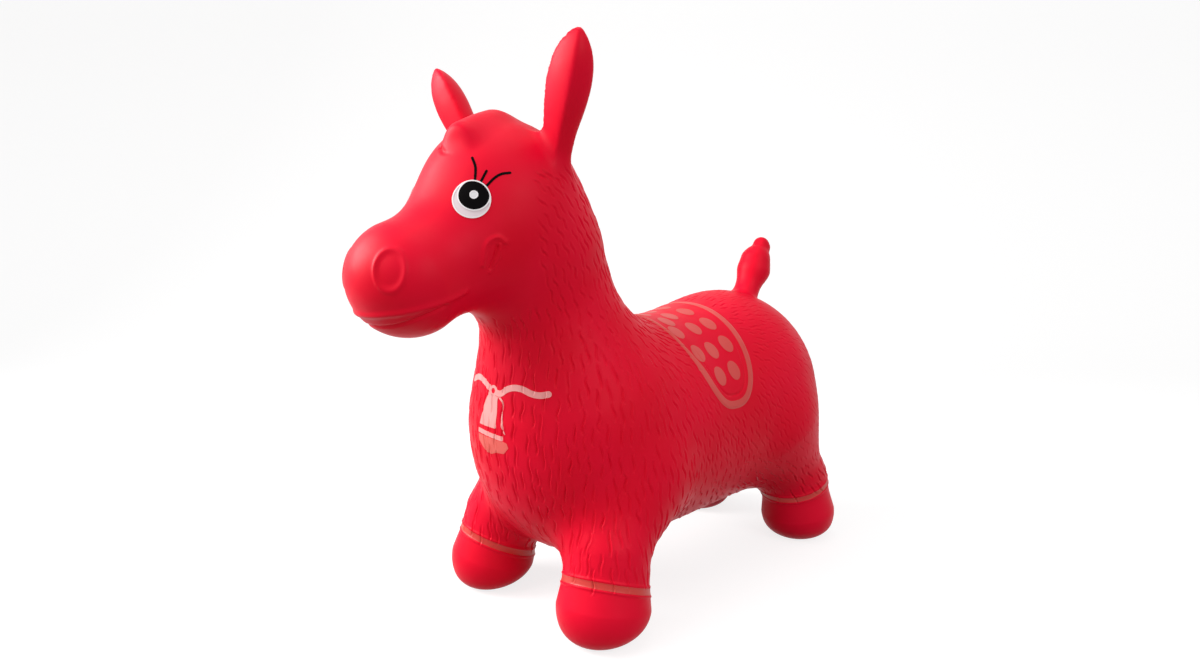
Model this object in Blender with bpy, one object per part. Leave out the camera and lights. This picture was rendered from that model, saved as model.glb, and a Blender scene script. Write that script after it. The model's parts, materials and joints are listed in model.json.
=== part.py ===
"""Inflatable ride-on horse, about 56 cm long, 50 cm tall and 24 cm wide.

The hollow plastic skin is one blended form. It is divided where it flexes: at the neck, the
ears, the tail and the four ankles. Each dividing face is part of a sphere about its own pivot,
so the sections turn past each other without touching. A plug closes the air hole under the
belly, and the printed decoration is a thin film that lies on the skin.

The horse faces -Y, its left side is +X, and it stands on z = 0. Units are metres.
"""
import math

import bmesh
import bpy
import numpy as np
from mathutils import Matrix, Vector

# The trunk: three overlapping ellipsoids, from the chest backwards
CHEST_FORWARD = 0.043
CHEST_HEIGHT = 0.159
CHEST_HALF_WIDTH = 0.104
CHEST_HALF_LENGTH = 0.112
CHEST_HALF_DEPTH = 0.112
BELLY_BEHIND_CHEST = 0.110
BELLY_HALF_WIDTH = 0.1015
BELLY_HALF_LENGTH = 0.112
BELLY_HALF_DEPTH = 0.109
RUMP_BEHIND_BELLY = 0.106
RUMP_RISE = 0.013
RUMP_HALF_WIDTH = 0.112
RUMP_HALF_LENGTH = 0.1065
RUMP_HALF_DEPTH = 0.117
TRUNK_BLEND = 0.050

# The neck rises from the chest, and the skull sits on it
NECK_ROOT_FORWARD = 0.0285
NECK_ROOT_RISE = 0.0515
NECK_ROOT_RADIUS = 0.0705
NECK_LEAN = 0.0305
NECK_RISE = 0.1155
NECK_TOP_RADIUS = 0.0595
NECK_BLEND = 0.050
SKULL_FORWARD = 0.0405
SKULL_RISE = 0.039
SKULL_HALF_WIDTH = 0.068
SKULL_HALF_LENGTH = 0.075
SKULL_HALF_HEIGHT = 0.081
HEAD_BLEND = 0.030

# The muzzle runs from the jaw to the nose
JAW_FORWARD = 0.031
JAW_DROP = 0.020
JAW_RADIUS = 0.041
MUZZLE_LENGTH = 0.061
MUZZLE_DROP = 0.0295
NOSE_RADIUS = 0.0465
MUZZLE_FLATNESS = 1.08

# Ears, seated on the skull: leaves turned outwards, with a ridge down each face
EAR_SEAT_SHARES = (0.853, 0.18, 0.772)
EAR_OUTWARD = 0.0385
EAR_FORWARD = 0.0125
EAR_RISE = 0.0745
EAR_HALF_WIDTH = 0.0180
EAR_HALF_THICKNESS = 0.0146
EAR_BLEND = 0.012
EAR_STATION_SHARES = (-0.3, 0.0, 0.12, 0.25, 0.40, 0.55, 0.70, 0.82, 0.91, 0.97, 1.0, 1.1)
EAR_WIDTH_SHARES = (0.76, 0.78, 0.83, 0.92, 1.0, 1.02, 0.94, 0.76, 0.51, 0.26, 0.08, -0.6)
EAR_TURN_DEG = 28.0
EAR_SKEW_SHARE = 0.35
EAR_RIDGE_POWER = 1.35
EAR_SLOPE_SHARE = 0.7

# The forelock, a rounded tuft on the brow
FORELOCK_ROOT_SHARES = (-0.10, 0.85)
FORELOCK_END_SHARES = (0.162, -0.593, 0.735)
FORELOCK_ROOT_RADIUS = 0.018
FORELOCK_END_RADIUS = 0.014
FORELOCK_BLEND = 0.012

# Legs: from the hip to the ankle, then a bell-shaped hoof with a tilted sole
FRONT_HIP_SPREAD = 0.058
FRONT_HIP_BEHIND_CHEST = 0.003
FRONT_HIP_DROP = 0.033
FRONT_ANKLE_SPREAD = 0.0745
FRONT_ANKLE_REACH = 0.048
FRONT_HOOF_SPREAD = 0.079
FRONT_HOOF_REACH = 0.010
FRONT_HOOF_HEIGHT = 0.028
FRONT_SOLE_TILT_DEG = 12.0
FRONT_TOE_REACH = 0.030
HIND_HIP_SPREAD = 0.067
HIND_HIP_BEHIND_RUMP = 0.007
HIND_HIP_DROP = 0.031
HIND_ANKLE_SPREAD = 0.071
HIND_ANKLE_REACH = 0.048
HIND_HOOF_SPREAD = 0.073
HIND_HOOF_REACH = 0.007
HIND_HOOF_HEIGHT = 0.030
HIND_SOLE_TILT_DEG = 4.0
HIND_TOE_REACH = 0.008
ANKLE_HEIGHT = 0.072
HIP_RADIUS = 0.046
ANKLE_RADIUS = 0.0345
HOOF_RADIUS = 0.042
LEG_BLEND = 0.030
ANKLE_BLEND = 0.012
SOLE_ROUNDING = 0.022
FRONT_SOLE_DROP = 0.0065
HIND_SOLE_DROP = 0.005

# The tail, a short stub that leans back
TAIL_SEAT_SHARES = (0.376, 0.846)
TAIL_ROOT_RADIUS = 0.013
TAIL_BEND_BACK = 0.0285
TAIL_BEND_RISE = 0.0425
TAIL_BEND_RADIUS = 0.018
TAIL_TIP_BACK = 0.0145
TAIL_TIP_RISE = 0.0285
TAIL_TIP_RADIUS = 0.0095
TAIL_BLEND = 0.015
TAIL_BEND_BLEND = 0.010

# The skin and the clearance between its sections
WALL = 0.002
SECTION_GAP = 0.0003
GRID_CELL = 0.006
OUTER_TRIANGLES = 3900
INNER_TRIANGLES = 2200

# Each flexing line: where its pivot lies, how large its sphere is, how wide its dish opens
NECK_PIVOT_SHARE = 0.30
NECK_SPHERE_SHARE = 1.25
NECK_DISH_DEG = 75.0
EAR_PIVOT_SHARE = -0.10
EAR_SPHERE_SHARE = 1.17
EAR_DISH_DEG = 60.0
TAIL_PIVOT_SHARE = 0.20
TAIL_SPHERE_SHARE = 1.62
TAIL_DISH_DEG = 60.0
ANKLE_PIVOT_SHARE = 0.28
ANKLE_SPHERE_SHARE = 1.62
ANKLE_DISH_DEG = 54.0
DISH_SPREAD_SHARE = 1.15
DISH_SIDES = 36
DISH_STEP_DEG = 5.0
OVERRUN = 0.020

# The air hole under the belly, its bush and its plug
VALVE_BEHIND_BELLY = 0.036
VALVE_BORE_RADIUS = 0.0045
VALVE_BARREL_RADIUS = 0.0085
VALVE_FLANGE_RADIUS = 0.0125
VALVE_FLANGE_THICKNESS = 0.0012
VALVE_SEAT_RISE = 0.0014
PLUG_HEAD_RADIUS = 0.0085
PLUG_HEAD_THICKNESS = 0.0022
PLUG_SHANK_LENGTH = 0.016
PLUG_TIP_RADIUS = 0.0032
VALVE_SIDES = 24

# The prints: their thickness and their clearance to what lies under them
FILM = 0.0004
FILM_GAP = 0.0003
EYE_YAW_DEG = 35.0
EYE_PITCH_DEG = 8.0
EYE_WHITE_RADIUS = 0.0148
PUPIL_RADIUS = 0.011
PUPIL_OUTWARD = 0.0018
PUPIL_RISE = 0.0034
GLINT_RADIUS = 0.003
SADDLE_AHEAD_OF_BELLY = 0.0015
SADDLE_HALF_LENGTH = 0.137
SADDLE_HALF_WIDTH = 0.0468
SADDLE_POWER = 2.6
SADDLE_BAND = 0.0075
BAND_WIDTH = 0.0055
FRONT_BAND_BELOW_SEAM = 0.0015
HIND_BAND_ABOVE_SEAM = 0.012
RIBBON_RISE = 0.0575
RIBBON_HALF_SPAN = 0.057
RIBBON_WIDTH = 0.0065
RIBBON_SWAY = 0.0035
TASSEL_LENGTH = 0.046
TASSEL_HALF_WIDTH = 0.019
TASSEL_PROFILE_SHARES = ((0.0, 0.30), (0.45, 0.40), (0.62, 0.42), (0.68, 0.72), (0.85, 1.0), (1.0, 0.86))

# How finely the prints follow the skin, and how their places are found on it
SADDLE_STEPS = 60
RIBBON_STEPS = 24
MARCH_STEPS = 80
MARCH_SHARE = 0.7
SLOPE_STEP_SHARE = 0.1
LEAST_FACING_SHARE = 0.4
GRID_FOOT_SHARE = 1.5
SHARP_RIM_DEG = 40.0
TINY = 1e-9

# Colours and roughness of the skin and the prints
RED = (0.66, 0.01, 0.03)
TAN = (0.62, 0.09, 0.06)
PEACH = (0.85, 0.35, 0.25)
WHITE = (0.82, 0.78, 0.79)
BLACK = (0.01, 0.01, 0.01)
SKIN_ROUGHNESS = 0.38
PAINT_ROUGHNESS = 0.42


def place(outward, backward, upward):
    """A point, from its distances to the left, to the rear and up."""
    return np.array([outward, backward, upward])


def midway(start, end, share):
    """The point at a share of the way from start to end."""
    return start + share * (end - start)


def on_skull(shares):
    """A point given in shares of the skull's half sizes, from its centre."""
    return SKULL + np.array(shares) * SKULL_RADII


# The form's own points, each placed from the one that carries it
CHEST = place(0, -CHEST_FORWARD, CHEST_HEIGHT)
CHEST_RADII = np.array([CHEST_HALF_WIDTH, CHEST_HALF_LENGTH, CHEST_HALF_DEPTH])
BELLY = CHEST + place(0, BELLY_BEHIND_CHEST, 0)
BELLY_RADII = np.array([BELLY_HALF_WIDTH, BELLY_HALF_LENGTH, BELLY_HALF_DEPTH])
RUMP = BELLY + place(0, RUMP_BEHIND_BELLY, RUMP_RISE)
RUMP_RADII = np.array([RUMP_HALF_WIDTH, RUMP_HALF_LENGTH, RUMP_HALF_DEPTH])
NECK_ROOT = CHEST + place(0, -NECK_ROOT_FORWARD, NECK_ROOT_RISE)
NECK_TOP = NECK_ROOT + place(0, -NECK_LEAN, NECK_RISE)
SKULL = NECK_TOP + place(0, -SKULL_FORWARD, SKULL_RISE)
SKULL_RADII = np.array([SKULL_HALF_WIDTH, SKULL_HALF_LENGTH, SKULL_HALF_HEIGHT])
JAW = SKULL + place(0, -JAW_FORWARD, -JAW_DROP)
NOSE = JAW + place(0, -MUZZLE_LENGTH, -MUZZLE_DROP)
EAR_ROOT = on_skull(EAR_SEAT_SHARES)
EAR_TIP = EAR_ROOT + place(EAR_OUTWARD, -EAR_FORWARD, EAR_RISE)
FORELOCK_ROOT = on_skull((0, *FORELOCK_ROOT_SHARES))
FORELOCK_END = on_skull(FORELOCK_END_SHARES)
TAIL_ROOT = RUMP + np.array((0, *TAIL_SEAT_SHARES)) * RUMP_RADII
TAIL_BEND = TAIL_ROOT + place(0, TAIL_BEND_BACK, TAIL_BEND_RISE)
TAIL_TIP = TAIL_BEND + place(0, TAIL_TIP_BACK, TAIL_TIP_RISE)
FRONT_HIP = place(FRONT_HIP_SPREAD, CHEST[1] + FRONT_HIP_BEHIND_CHEST, CHEST[2] - FRONT_HIP_DROP)
FRONT_ANKLE = place(FRONT_ANKLE_SPREAD, FRONT_HIP[1] - FRONT_ANKLE_REACH, ANKLE_HEIGHT)
FRONT_HOOF = place(FRONT_HOOF_SPREAD, FRONT_ANKLE[1] - FRONT_HOOF_REACH, FRONT_HOOF_HEIGHT)
HIND_HIP = place(HIND_HIP_SPREAD, RUMP[1] + HIND_HIP_BEHIND_RUMP, RUMP[2] - HIND_HIP_DROP)
HIND_ANKLE = place(HIND_ANKLE_SPREAD, HIND_HIP[1] + HIND_ANKLE_REACH, ANKLE_HEIGHT)
HIND_HOOF = place(HIND_HOOF_SPREAD, HIND_ANKLE[1] + HIND_HOOF_REACH, HIND_HOOF_HEIGHT)

# The pivots, each with the direction in which its moving section lies
NECK_PIVOT = midway(NECK_ROOT, NECK_TOP, NECK_PIVOT_SHARE)
EAR_PIVOT = midway(EAR_ROOT, EAR_TIP, EAR_PIVOT_SHARE)
TAIL_PIVOT = midway(TAIL_ROOT, TAIL_BEND, TAIL_PIVOT_SHARE)
FRONT_PIVOT = midway(FRONT_ANKLE, FRONT_HIP, ANKLE_PIVOT_SHARE)
HIND_PIVOT = midway(HIND_ANKLE, HIND_HIP, ANKLE_PIVOT_SHARE)


def ellipsoid(points, centre, radii):
    """Distance from an ellipsoid, exact to first order at its surface."""
    offset = points - centre
    near = np.linalg.norm(offset / radii, axis=-1)
    slope = np.linalg.norm(offset / (radii * radii), axis=-1)
    return near * (near - 1) / np.maximum(slope, TINY)


def limb(points, start, end, start_radius, end_radius, flatness=1):
    """Distance from a tapered round limb; flatness widens it from side to side."""
    squeeze = np.array([flatness, 1, 1])
    offset = (points - start) / squeeze
    along = (end - start) / squeeze
    share = np.clip(offset @ along / (along @ along), 0, 1)
    radius = start_radius + (end_radius - start_radius) * share
    return np.linalg.norm(offset - share[..., None] * along, axis=-1) - radius


def blend(first, second, width):
    """The union of two distances, filleted over a width."""
    mix = np.clip(0.5 + 0.5 * (second - first) / width, 0, 1)
    return second + (first - second) * mix - width * mix * (1 - mix)


def carve(first, second, width):
    """What two distances share, its edge rounded over a width."""
    return -blend(-first, -second, width)


def leg(points, hip, ankle, hoof, tilt_deg, toe_reach, drop):
    """A thigh that tapers to the ankle and swells into a hoof with a tilted sole."""
    thigh = limb(points, hip, ankle, HIP_RADIUS, ANKLE_RADIUS)
    bell = limb(points, ankle, hoof, ANKLE_RADIUS, HOOF_RADIUS)
    tilt = math.radians(tilt_deg)
    behind_toe = points[..., 1] - (hoof[1] - toe_reach)
    sole = behind_toe * math.sin(tilt) - points[..., 2] * math.cos(tilt) - drop
    return blend(thigh, carve(bell, sole, SOLE_ROUNDING), ANKLE_BLEND)


def ear(points):
    """A leaf from the ear's root to its tip, with a soft ridge along both faces."""
    along = EAR_TIP - EAR_ROOT
    length = np.linalg.norm(along)
    along = along / length
    offset = points - EAR_ROOT
    share = offset @ along / length
    width = EAR_HALF_WIDTH * np.interp(share, EAR_STATION_SHARES, EAR_WIDTH_SHARES)
    turn = math.radians(EAR_TURN_DEG)
    sideways = place(math.cos(turn), math.sin(turn), 0)
    sideways = sideways - along * (along @ sideways)
    sideways /= np.linalg.norm(sideways)
    depth = offset @ np.cross(along, sideways)
    across = np.abs(offset @ sideways + EAR_SKEW_SHARE * np.minimum(depth, 0))
    through = np.abs(depth) * EAR_HALF_WIDTH / EAR_HALF_THICKNESS
    reach = (across ** EAR_RIDGE_POWER + through ** EAR_RIDGE_POWER) ** (1 / EAR_RIDGE_POWER)
    return (reach - width) * EAR_SLOPE_SHARE


def form(points):
    """Distance from the whole horse's surface: negative inside it."""
    trunk = blend(ellipsoid(points, CHEST, CHEST_RADII), ellipsoid(points, BELLY, BELLY_RADII), TRUNK_BLEND)
    trunk = blend(trunk, ellipsoid(points, RUMP, RUMP_RADII), TRUNK_BLEND)
    neck = limb(points, NECK_ROOT, NECK_TOP, NECK_ROOT_RADIUS, NECK_TOP_RADIUS)
    trunk = blend(trunk, neck, NECK_BLEND)
    muzzle = limb(points, JAW, NOSE, JAW_RADIUS, NOSE_RADIUS, MUZZLE_FLATNESS)
    head = blend(ellipsoid(points, SKULL, SKULL_RADII), muzzle, HEAD_BLEND)
    horse = blend(trunk, head, HEAD_BLEND)
    mirrored = np.array(points)
    mirrored[..., 0] = np.abs(mirrored[..., 0])
    front_sole = (FRONT_SOLE_TILT_DEG, FRONT_TOE_REACH, FRONT_SOLE_DROP)
    hind_sole = (HIND_SOLE_TILT_DEG, HIND_TOE_REACH, HIND_SOLE_DROP)
    front = leg(mirrored, FRONT_HIP, FRONT_ANKLE, FRONT_HOOF, *front_sole)
    hind = leg(mirrored, HIND_HIP, HIND_ANKLE, HIND_HOOF, *hind_sole)
    horse = blend(horse, np.minimum(front, hind), LEG_BLEND)
    horse = blend(horse, ear(mirrored), EAR_BLEND)
    stub = limb(points, TAIL_ROOT, TAIL_BEND, TAIL_ROOT_RADIUS, TAIL_BEND_RADIUS)
    stub = blend(stub, limb(points, TAIL_BEND, TAIL_TIP, TAIL_BEND_RADIUS, TAIL_TIP_RADIUS), TAIL_BEND_BLEND)
    horse = blend(horse, stub, TAIL_BLEND)
    lock = limb(points, FORELOCK_ROOT, FORELOCK_END, FORELOCK_ROOT_RADIUS, FORELOCK_END_RADIUS)
    return blend(horse, lock, FORELOCK_BLEND)


def form_box():
    """The lowest and highest corners of a box that holds the form, with room around it."""
    high = np.max([
        CHEST + CHEST_RADII, BELLY + BELLY_RADII, RUMP + RUMP_RADII, SKULL + SKULL_RADII,
        EAR_TIP, TAIL_TIP + TAIL_TIP_RADIUS, TAIL_BEND + TAIL_BEND_RADIUS,
        FRONT_HOOF + HOOF_RADIUS, HIND_HOOF + HOOF_RADIUS,
    ], axis=0) + OVERRUN
    front = min(NOSE[1] - NOSE_RADIUS, FRONT_HOOF[1] - HOOF_RADIUS, CHEST[1] - CHEST_HALF_LENGTH) - OVERRUN
    half_cells = math.ceil(high[0] / GRID_CELL)
    return np.array([-half_cells * GRID_CELL, front, -GRID_CELL * GRID_FOOT_SHARE]), high


def net(name, values, corner):
    """Closed mesh where the grid's values pass zero.

    It has a point in each cell that is crossed and a face across each edge that is crossed.
    """
    inside = values < 0
    count = np.array(values.shape)
    steps = [(i, j, k) for i in (0, 1) for j in (0, 1) for k in (0, 1)]
    cut = count - 1
    filled = sum(inside[i:cut[0] + i, j:cut[1] + j, k:cut[2] + k].astype(int) for i, j, k in steps)
    crossed = (filled > 0) & (filled < len(steps))
    cells = np.argwhere(crossed)
    index = np.full(count - 1, -1)
    index[crossed] = np.arange(len(cells))
    total = np.zeros((len(cells), 3))
    edges = np.zeros(len(cells))
    for step in steps:
        for axis in range(3):
            if step[axis]:
                continue
            near = cells + np.array(step)
            far = near + np.eye(3, dtype=int)[axis]
            first = values[tuple(near.T)]
            second = values[tuple(far.T)]
            passes = (first < 0) != (second < 0)
            share = np.where(passes, first / np.where(passes, first - second, 1), 0)
            point = np.array(step) + share[:, None] * np.eye(3)[axis]
            total[passes] += point[passes]
            edges[passes] += 1
    points = corner + GRID_CELL * (cells + total / edges[:, None])
    faces = []
    for axis in range(3):
        one = np.eye(3, dtype=int)[(axis + 1) % 3]
        two = np.eye(3, dtype=int)[(axis + 2) % 3]
        first = inside.take(range(count[axis] - 1), axis)
        second = inside.take(range(1, count[axis]), axis)
        edge = np.argwhere(first != second)
        ring = [index[tuple((edge - shift).T)] for shift in (one + two, two, np.zeros(3, dtype=int), one)]
        quads = np.stack(ring, axis=1)
        backwards = second[tuple(edge.T)]
        quads[backwards] = quads[backwards][:, ::-1]
        faces.extend(quads.tolist())
    mesh = bpy.data.meshes.new(name)
    mesh.from_pydata(points.tolist(), [], faces)
    return mesh


def evaluated(obj):
    """The object's mesh with its modifiers applied."""
    graph = bpy.context.evaluated_depsgraph_get()
    return bpy.data.meshes.new_from_object(obj.evaluated_get(graph), depsgraph=graph)


def add_object(name, mesh, parent=None, pivot=(0, 0, 0)):
    """An object whose origin lies on its pivot; the mesh is given in the horse's frame."""
    pivot = Vector(pivot)
    mesh.transform(Matrix.Translation(-pivot))
    obj = bpy.data.objects.new(name, mesh)
    bpy.context.scene.collection.objects.link(obj)
    obj["pivot"] = tuple(pivot)
    obj.location = pivot
    if parent:
        obj.parent = parent
        obj.location = pivot - Vector(parent["pivot"])
    return obj


def hide(obj):
    """Marks a cutter or a guide, which isn't part of the horse."""
    obj.hide_render = True
    obj.display_type = "WIRE"
    return obj


def decimated(name, mesh, triangles):
    """The mesh with about a number of triangles, alike on both sides."""
    obj = hide(add_object(name, mesh))
    thin = obj.modifiers.new("thin", "DECIMATE")
    thin.ratio = min(1, triangles / (2 * len(mesh.polygons)))
    thin.use_symmetry = True
    thin.symmetry_axis = "X"
    thin.use_collapse_triangulate = True
    return evaluated(obj)


def skin_meshes():
    """The outer surface, and the hollow skin: the outer surface with the inner one in it."""
    low, high = form_box()
    count = np.ceil((high - low) / GRID_CELL).astype(int) + 1
    axes = [low[i] + GRID_CELL * np.arange(count[i]) for i in range(3)]
    grid = np.stack(np.meshgrid(*axes, indexing="ij"), axis=-1)
    values = form(grid)
    outer = decimated("outer_net", net("outer", values, low), OUTER_TRIANGLES)
    above_ground = np.maximum(values, -grid[..., 2])
    inner = decimated("inner_net", net("inner", above_ground + WALL, low), INNER_TRIANGLES)
    inner.flip_normals()
    shell = bmesh.new()
    shell.from_mesh(outer)
    shell.from_mesh(inner)
    mesh = bpy.data.meshes.new("skin")
    shell.to_mesh(mesh)
    shell.free()
    return outer, mesh


def turned(name, profile, sides, centre=(0, 0, 0), direction=(0, 0, 1)):
    """A closed solid turned about an axis from (radius, height) points, listed from its foot to its top."""
    shape = bmesh.new()
    rings = []
    for radius, height in profile:
        if radius == 0:
            rings.append([shape.verts.new((0, 0, height))])
            continue
        angles = [2 * math.pi * i / sides for i in range(sides)]
        rings.append([shape.verts.new((radius * math.cos(a), radius * math.sin(a), height)) for a in angles])
    closed = len(rings[0]) > 1
    pairs = list(zip(rings, rings[1:])) + ([(rings[-1], rings[0])] if closed else [])
    for lower, upper in pairs:
        for i in range(sides):
            j = (i + 1) % sides
            corners = [lower[i % len(lower)], lower[j % len(lower)], upper[j % len(upper)], upper[i % len(upper)]]
            shape.faces.new(list(dict.fromkeys(corners)))
    mesh = bpy.data.meshes.new(name)
    shape.to_mesh(mesh)
    shape.free()
    turn = Vector(direction).to_track_quat("Z", "Y").to_matrix().to_4x4()
    mesh.transform(Matrix.Translation(Vector(centre)) @ turn)
    return mesh


def dish(name, pivot, towards, radius, open_deg, reach, spread):
    """A cutter that holds all beyond a sphere about the pivot, within a cone that opens towards a point."""
    steps = math.ceil(open_deg / DISH_STEP_DEG)
    angles = [math.radians(open_deg) * i / steps for i in range(steps + 1)]
    profile = [(radius * math.sin(a), radius * math.cos(a)) for a in angles]
    profile[0] = (0, radius)
    brim = spread / math.tan(angles[-1])
    profile += [(spread, brim), (spread, reach), (0, reach)]
    return hide(add_object(name, turned(name, profile, DISH_SIDES, pivot, towards - pivot)))


def boolean(obj, cutter, operation):
    """Adds an exact Boolean to an object."""
    cut = obj.modifiers.new(cutter.name, "BOOLEAN")
    cut.operation = operation
    cut.solver = "EXACT"
    cut.object = cutter
    return cut


def coating(name, colour, roughness):
    """A plain glossy or satin plastic in one colour."""
    material = bpy.data.materials.new(name)
    material.use_nodes = True
    shader = material.node_tree.nodes["Principled BSDF"]
    shader.inputs["Base Color"].default_value = (*colour, 1)
    shader.inputs["Roughness"].default_value = roughness
    shader.inputs["Metallic"].default_value = 0
    return material


def finish(obj, material):
    """Gives a piece its material and smooth shading with sharp rims."""
    obj.data.materials.clear()
    obj.data.materials.append(material)
    obj.data.shade_smooth()
    obj.data.set_sharp_from_angle(angle=math.radians(SHARP_RIM_DEG))
    return obj


def flex_line(name, pivot, towards, radius, open_deg, reach, spread):
    """The pair of dishes of one flexing line: what the carrier loses, and what the moving section keeps."""
    loses = dish(name + "_carrier_cut", pivot, towards, radius - SECTION_GAP / 2, open_deg, reach, spread)
    keeps = dish(name + "_section_cut", pivot, towards, radius + SECTION_GAP / 2, open_deg, reach, spread)
    return loses, keeps


def section(name, skin, material, parent=None, pivot=(0, 0, 0), keeps=None, loses=()):
    """One section of the skin: what its own dish holds, without what the dishes of its neighbours hold."""
    obj = add_object(name, skin.copy(), parent, pivot)
    if keeps:
        boolean(obj, keeps, "INTERSECT")
    for cutter in loses:
        boolean(obj, cutter, "DIFFERENCE")
    return finish(obj, material)


def flipped(point):
    """The same point on the horse's right side."""
    return point * np.array([-1, 1, 1])


def ankle_lines():
    """Name, pivot, hoof and cutters of each ankle's flexing line."""
    lines = []
    radius = ANKLE_RADIUS * ANKLE_SPHERE_SHARE
    spread = HOOF_RADIUS * DISH_SPREAD_SHARE + OVERRUN / 2
    for end, pivot, hoof in (("front", FRONT_PIVOT, FRONT_HOOF), ("hind", HIND_PIVOT, HIND_HOOF)):
        for side, to_side in (("left", np.array), ("right", flipped)):
            here = to_side(pivot)
            there = to_side(hoof)
            reach = pivot[2] + OVERRUN
            cuts = flex_line(f"{side}_{end}_ankle", here, there, radius, ANKLE_DISH_DEG, reach, spread)
            lines.append((f"{side}_{end}", here, there, cuts))
    return lines


def ground_cutter():
    """A slab under the floor, which cuts the soles flat."""
    low, high = form_box()
    slab = bmesh.new()
    bmesh.ops.create_cube(slab, size=1)
    size = np.array([high[0] - low[0], high[1] - low[1], OVERRUN])
    bmesh.ops.scale(slab, vec=size, verts=slab.verts)
    middle = place(0, (low[1] + high[1]) / 2, -OVERRUN / 2)
    bmesh.ops.translate(slab, vec=middle, verts=slab.verts)
    mesh = bpy.data.meshes.new("ground")
    slab.to_mesh(mesh)
    slab.free()
    return hide(add_object("ground", mesh))


def build_skin(skin, red):
    """All sections of the skin, and the lines on which they flex."""
    head_reach = np.linalg.norm(EAR_TIP - NECK_PIVOT) + OVERRUN
    head_spread = np.linalg.norm(NOSE - NECK_PIVOT) + NOSE_RADIUS
    neck_radius = NECK_ROOT_RADIUS * NECK_SPHERE_SHARE
    neck = flex_line("neck", NECK_PIVOT, NECK_TOP, neck_radius, NECK_DISH_DEG, head_reach, head_spread)
    tail_reach = np.linalg.norm(TAIL_TIP - TAIL_PIVOT) + TAIL_TIP_RADIUS + OVERRUN
    tail_spread = TAIL_BEND_RADIUS * DISH_SPREAD_SHARE + OVERRUN
    tail_radius = TAIL_ROOT_RADIUS * TAIL_SPHERE_SHARE
    tail = flex_line("tail", TAIL_PIVOT, TAIL_BEND, tail_radius, TAIL_DISH_DEG, tail_reach, tail_spread)
    ear_reach = np.linalg.norm(EAR_TIP - EAR_PIVOT) + OVERRUN
    ear_spread = EAR_HALF_WIDTH * DISH_SPREAD_SHARE + OVERRUN
    ear_radius = EAR_HALF_WIDTH * EAR_SPHERE_SHARE
    ears = []
    for side, to_side in (("left", np.array), ("right", flipped)):
        pivot = to_side(EAR_PIVOT)
        cuts = flex_line(f"{side}_ear", pivot, to_side(EAR_TIP), ear_radius, EAR_DISH_DEG, ear_reach, ear_spread)
        ears.append((f"{side}_ear", pivot, cuts))
    ankles = ankle_lines()
    valve_hole = hide(add_object("valve_hole", valve_cutter()))
    trunk_cuts = [neck[0], tail[0]] + [cuts[0] for _, _, _, cuts in ankles] + [valve_hole]
    trunk = section("trunk_skin", skin, red, loses=trunk_cuts)
    head_cuts = [cuts[0] for _, _, cuts in ears]
    head = section("head_skin", skin, red, trunk, NECK_PIVOT, neck[1], head_cuts)
    for name, pivot, cuts in ears:
        section(name, skin, red, head, pivot, cuts[1])
    section("tail", skin, red, trunk, TAIL_PIVOT, tail[1])
    ground = ground_cutter()
    hoofs = {}
    for name, pivot, _, cuts in ankles:
        hoofs[name] = section(f"{name}_hoof", skin, red, trunk, pivot, cuts[1], [ground])
    return trunk, head, hoofs, ankles


def onto_form(starts, directions):
    """Follows each direction from its start, outside the form, to the form's surface."""
    points = np.array(starts, dtype=float)
    for _ in range(MARCH_STEPS):
        points = points + np.maximum(form(points), 0)[..., None] * directions * MARCH_SHARE
    return points


def outward_at(point):
    """The direction straight out of the form at a point on it."""
    step = GRID_CELL * SLOPE_STEP_SHARE
    slope = [form(point + step * axis) - form(point - step * axis) for axis in np.eye(3)]
    return np.array(slope) / np.linalg.norm(slope)


def valve_seat():
    """Where the air hole passes the belly's surface, and its direction into the horse."""
    start = BELLY + place(0, VALVE_BEHIND_BELLY, -BELLY[2])
    seat = onto_form(start, place(0, 0, 1))
    return seat, -outward_at(seat)


def valve_levels():
    """Where the bush's outer and inner flange end, along the air hole from the skin's outer surface."""
    outer = -SECTION_GAP * 2
    inner = WALL + VALVE_SEAT_RISE
    return outer - VALVE_FLANGE_THICKNESS, outer, inner, inner + VALVE_FLANGE_THICKNESS


def valve_cutter():
    """What opens the air hole in the skin, and faces the skin flat under both flanges."""
    seat, inwards = valve_seat()
    _, outer, inner, _ = valve_levels()
    barrel = VALVE_BARREL_RADIUS + SECTION_GAP
    flange = VALVE_FLANGE_RADIUS + SECTION_GAP
    profile = [
        (0, -OVERRUN), (flange, -OVERRUN), (flange, outer + SECTION_GAP), (barrel, outer + SECTION_GAP),
        (barrel, inner - SECTION_GAP), (flange, inner - SECTION_GAP), (flange, OVERRUN), (0, OVERRUN),
    ]
    return turned("valve_hole", profile, VALVE_SIDES, seat, inwards)


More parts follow.
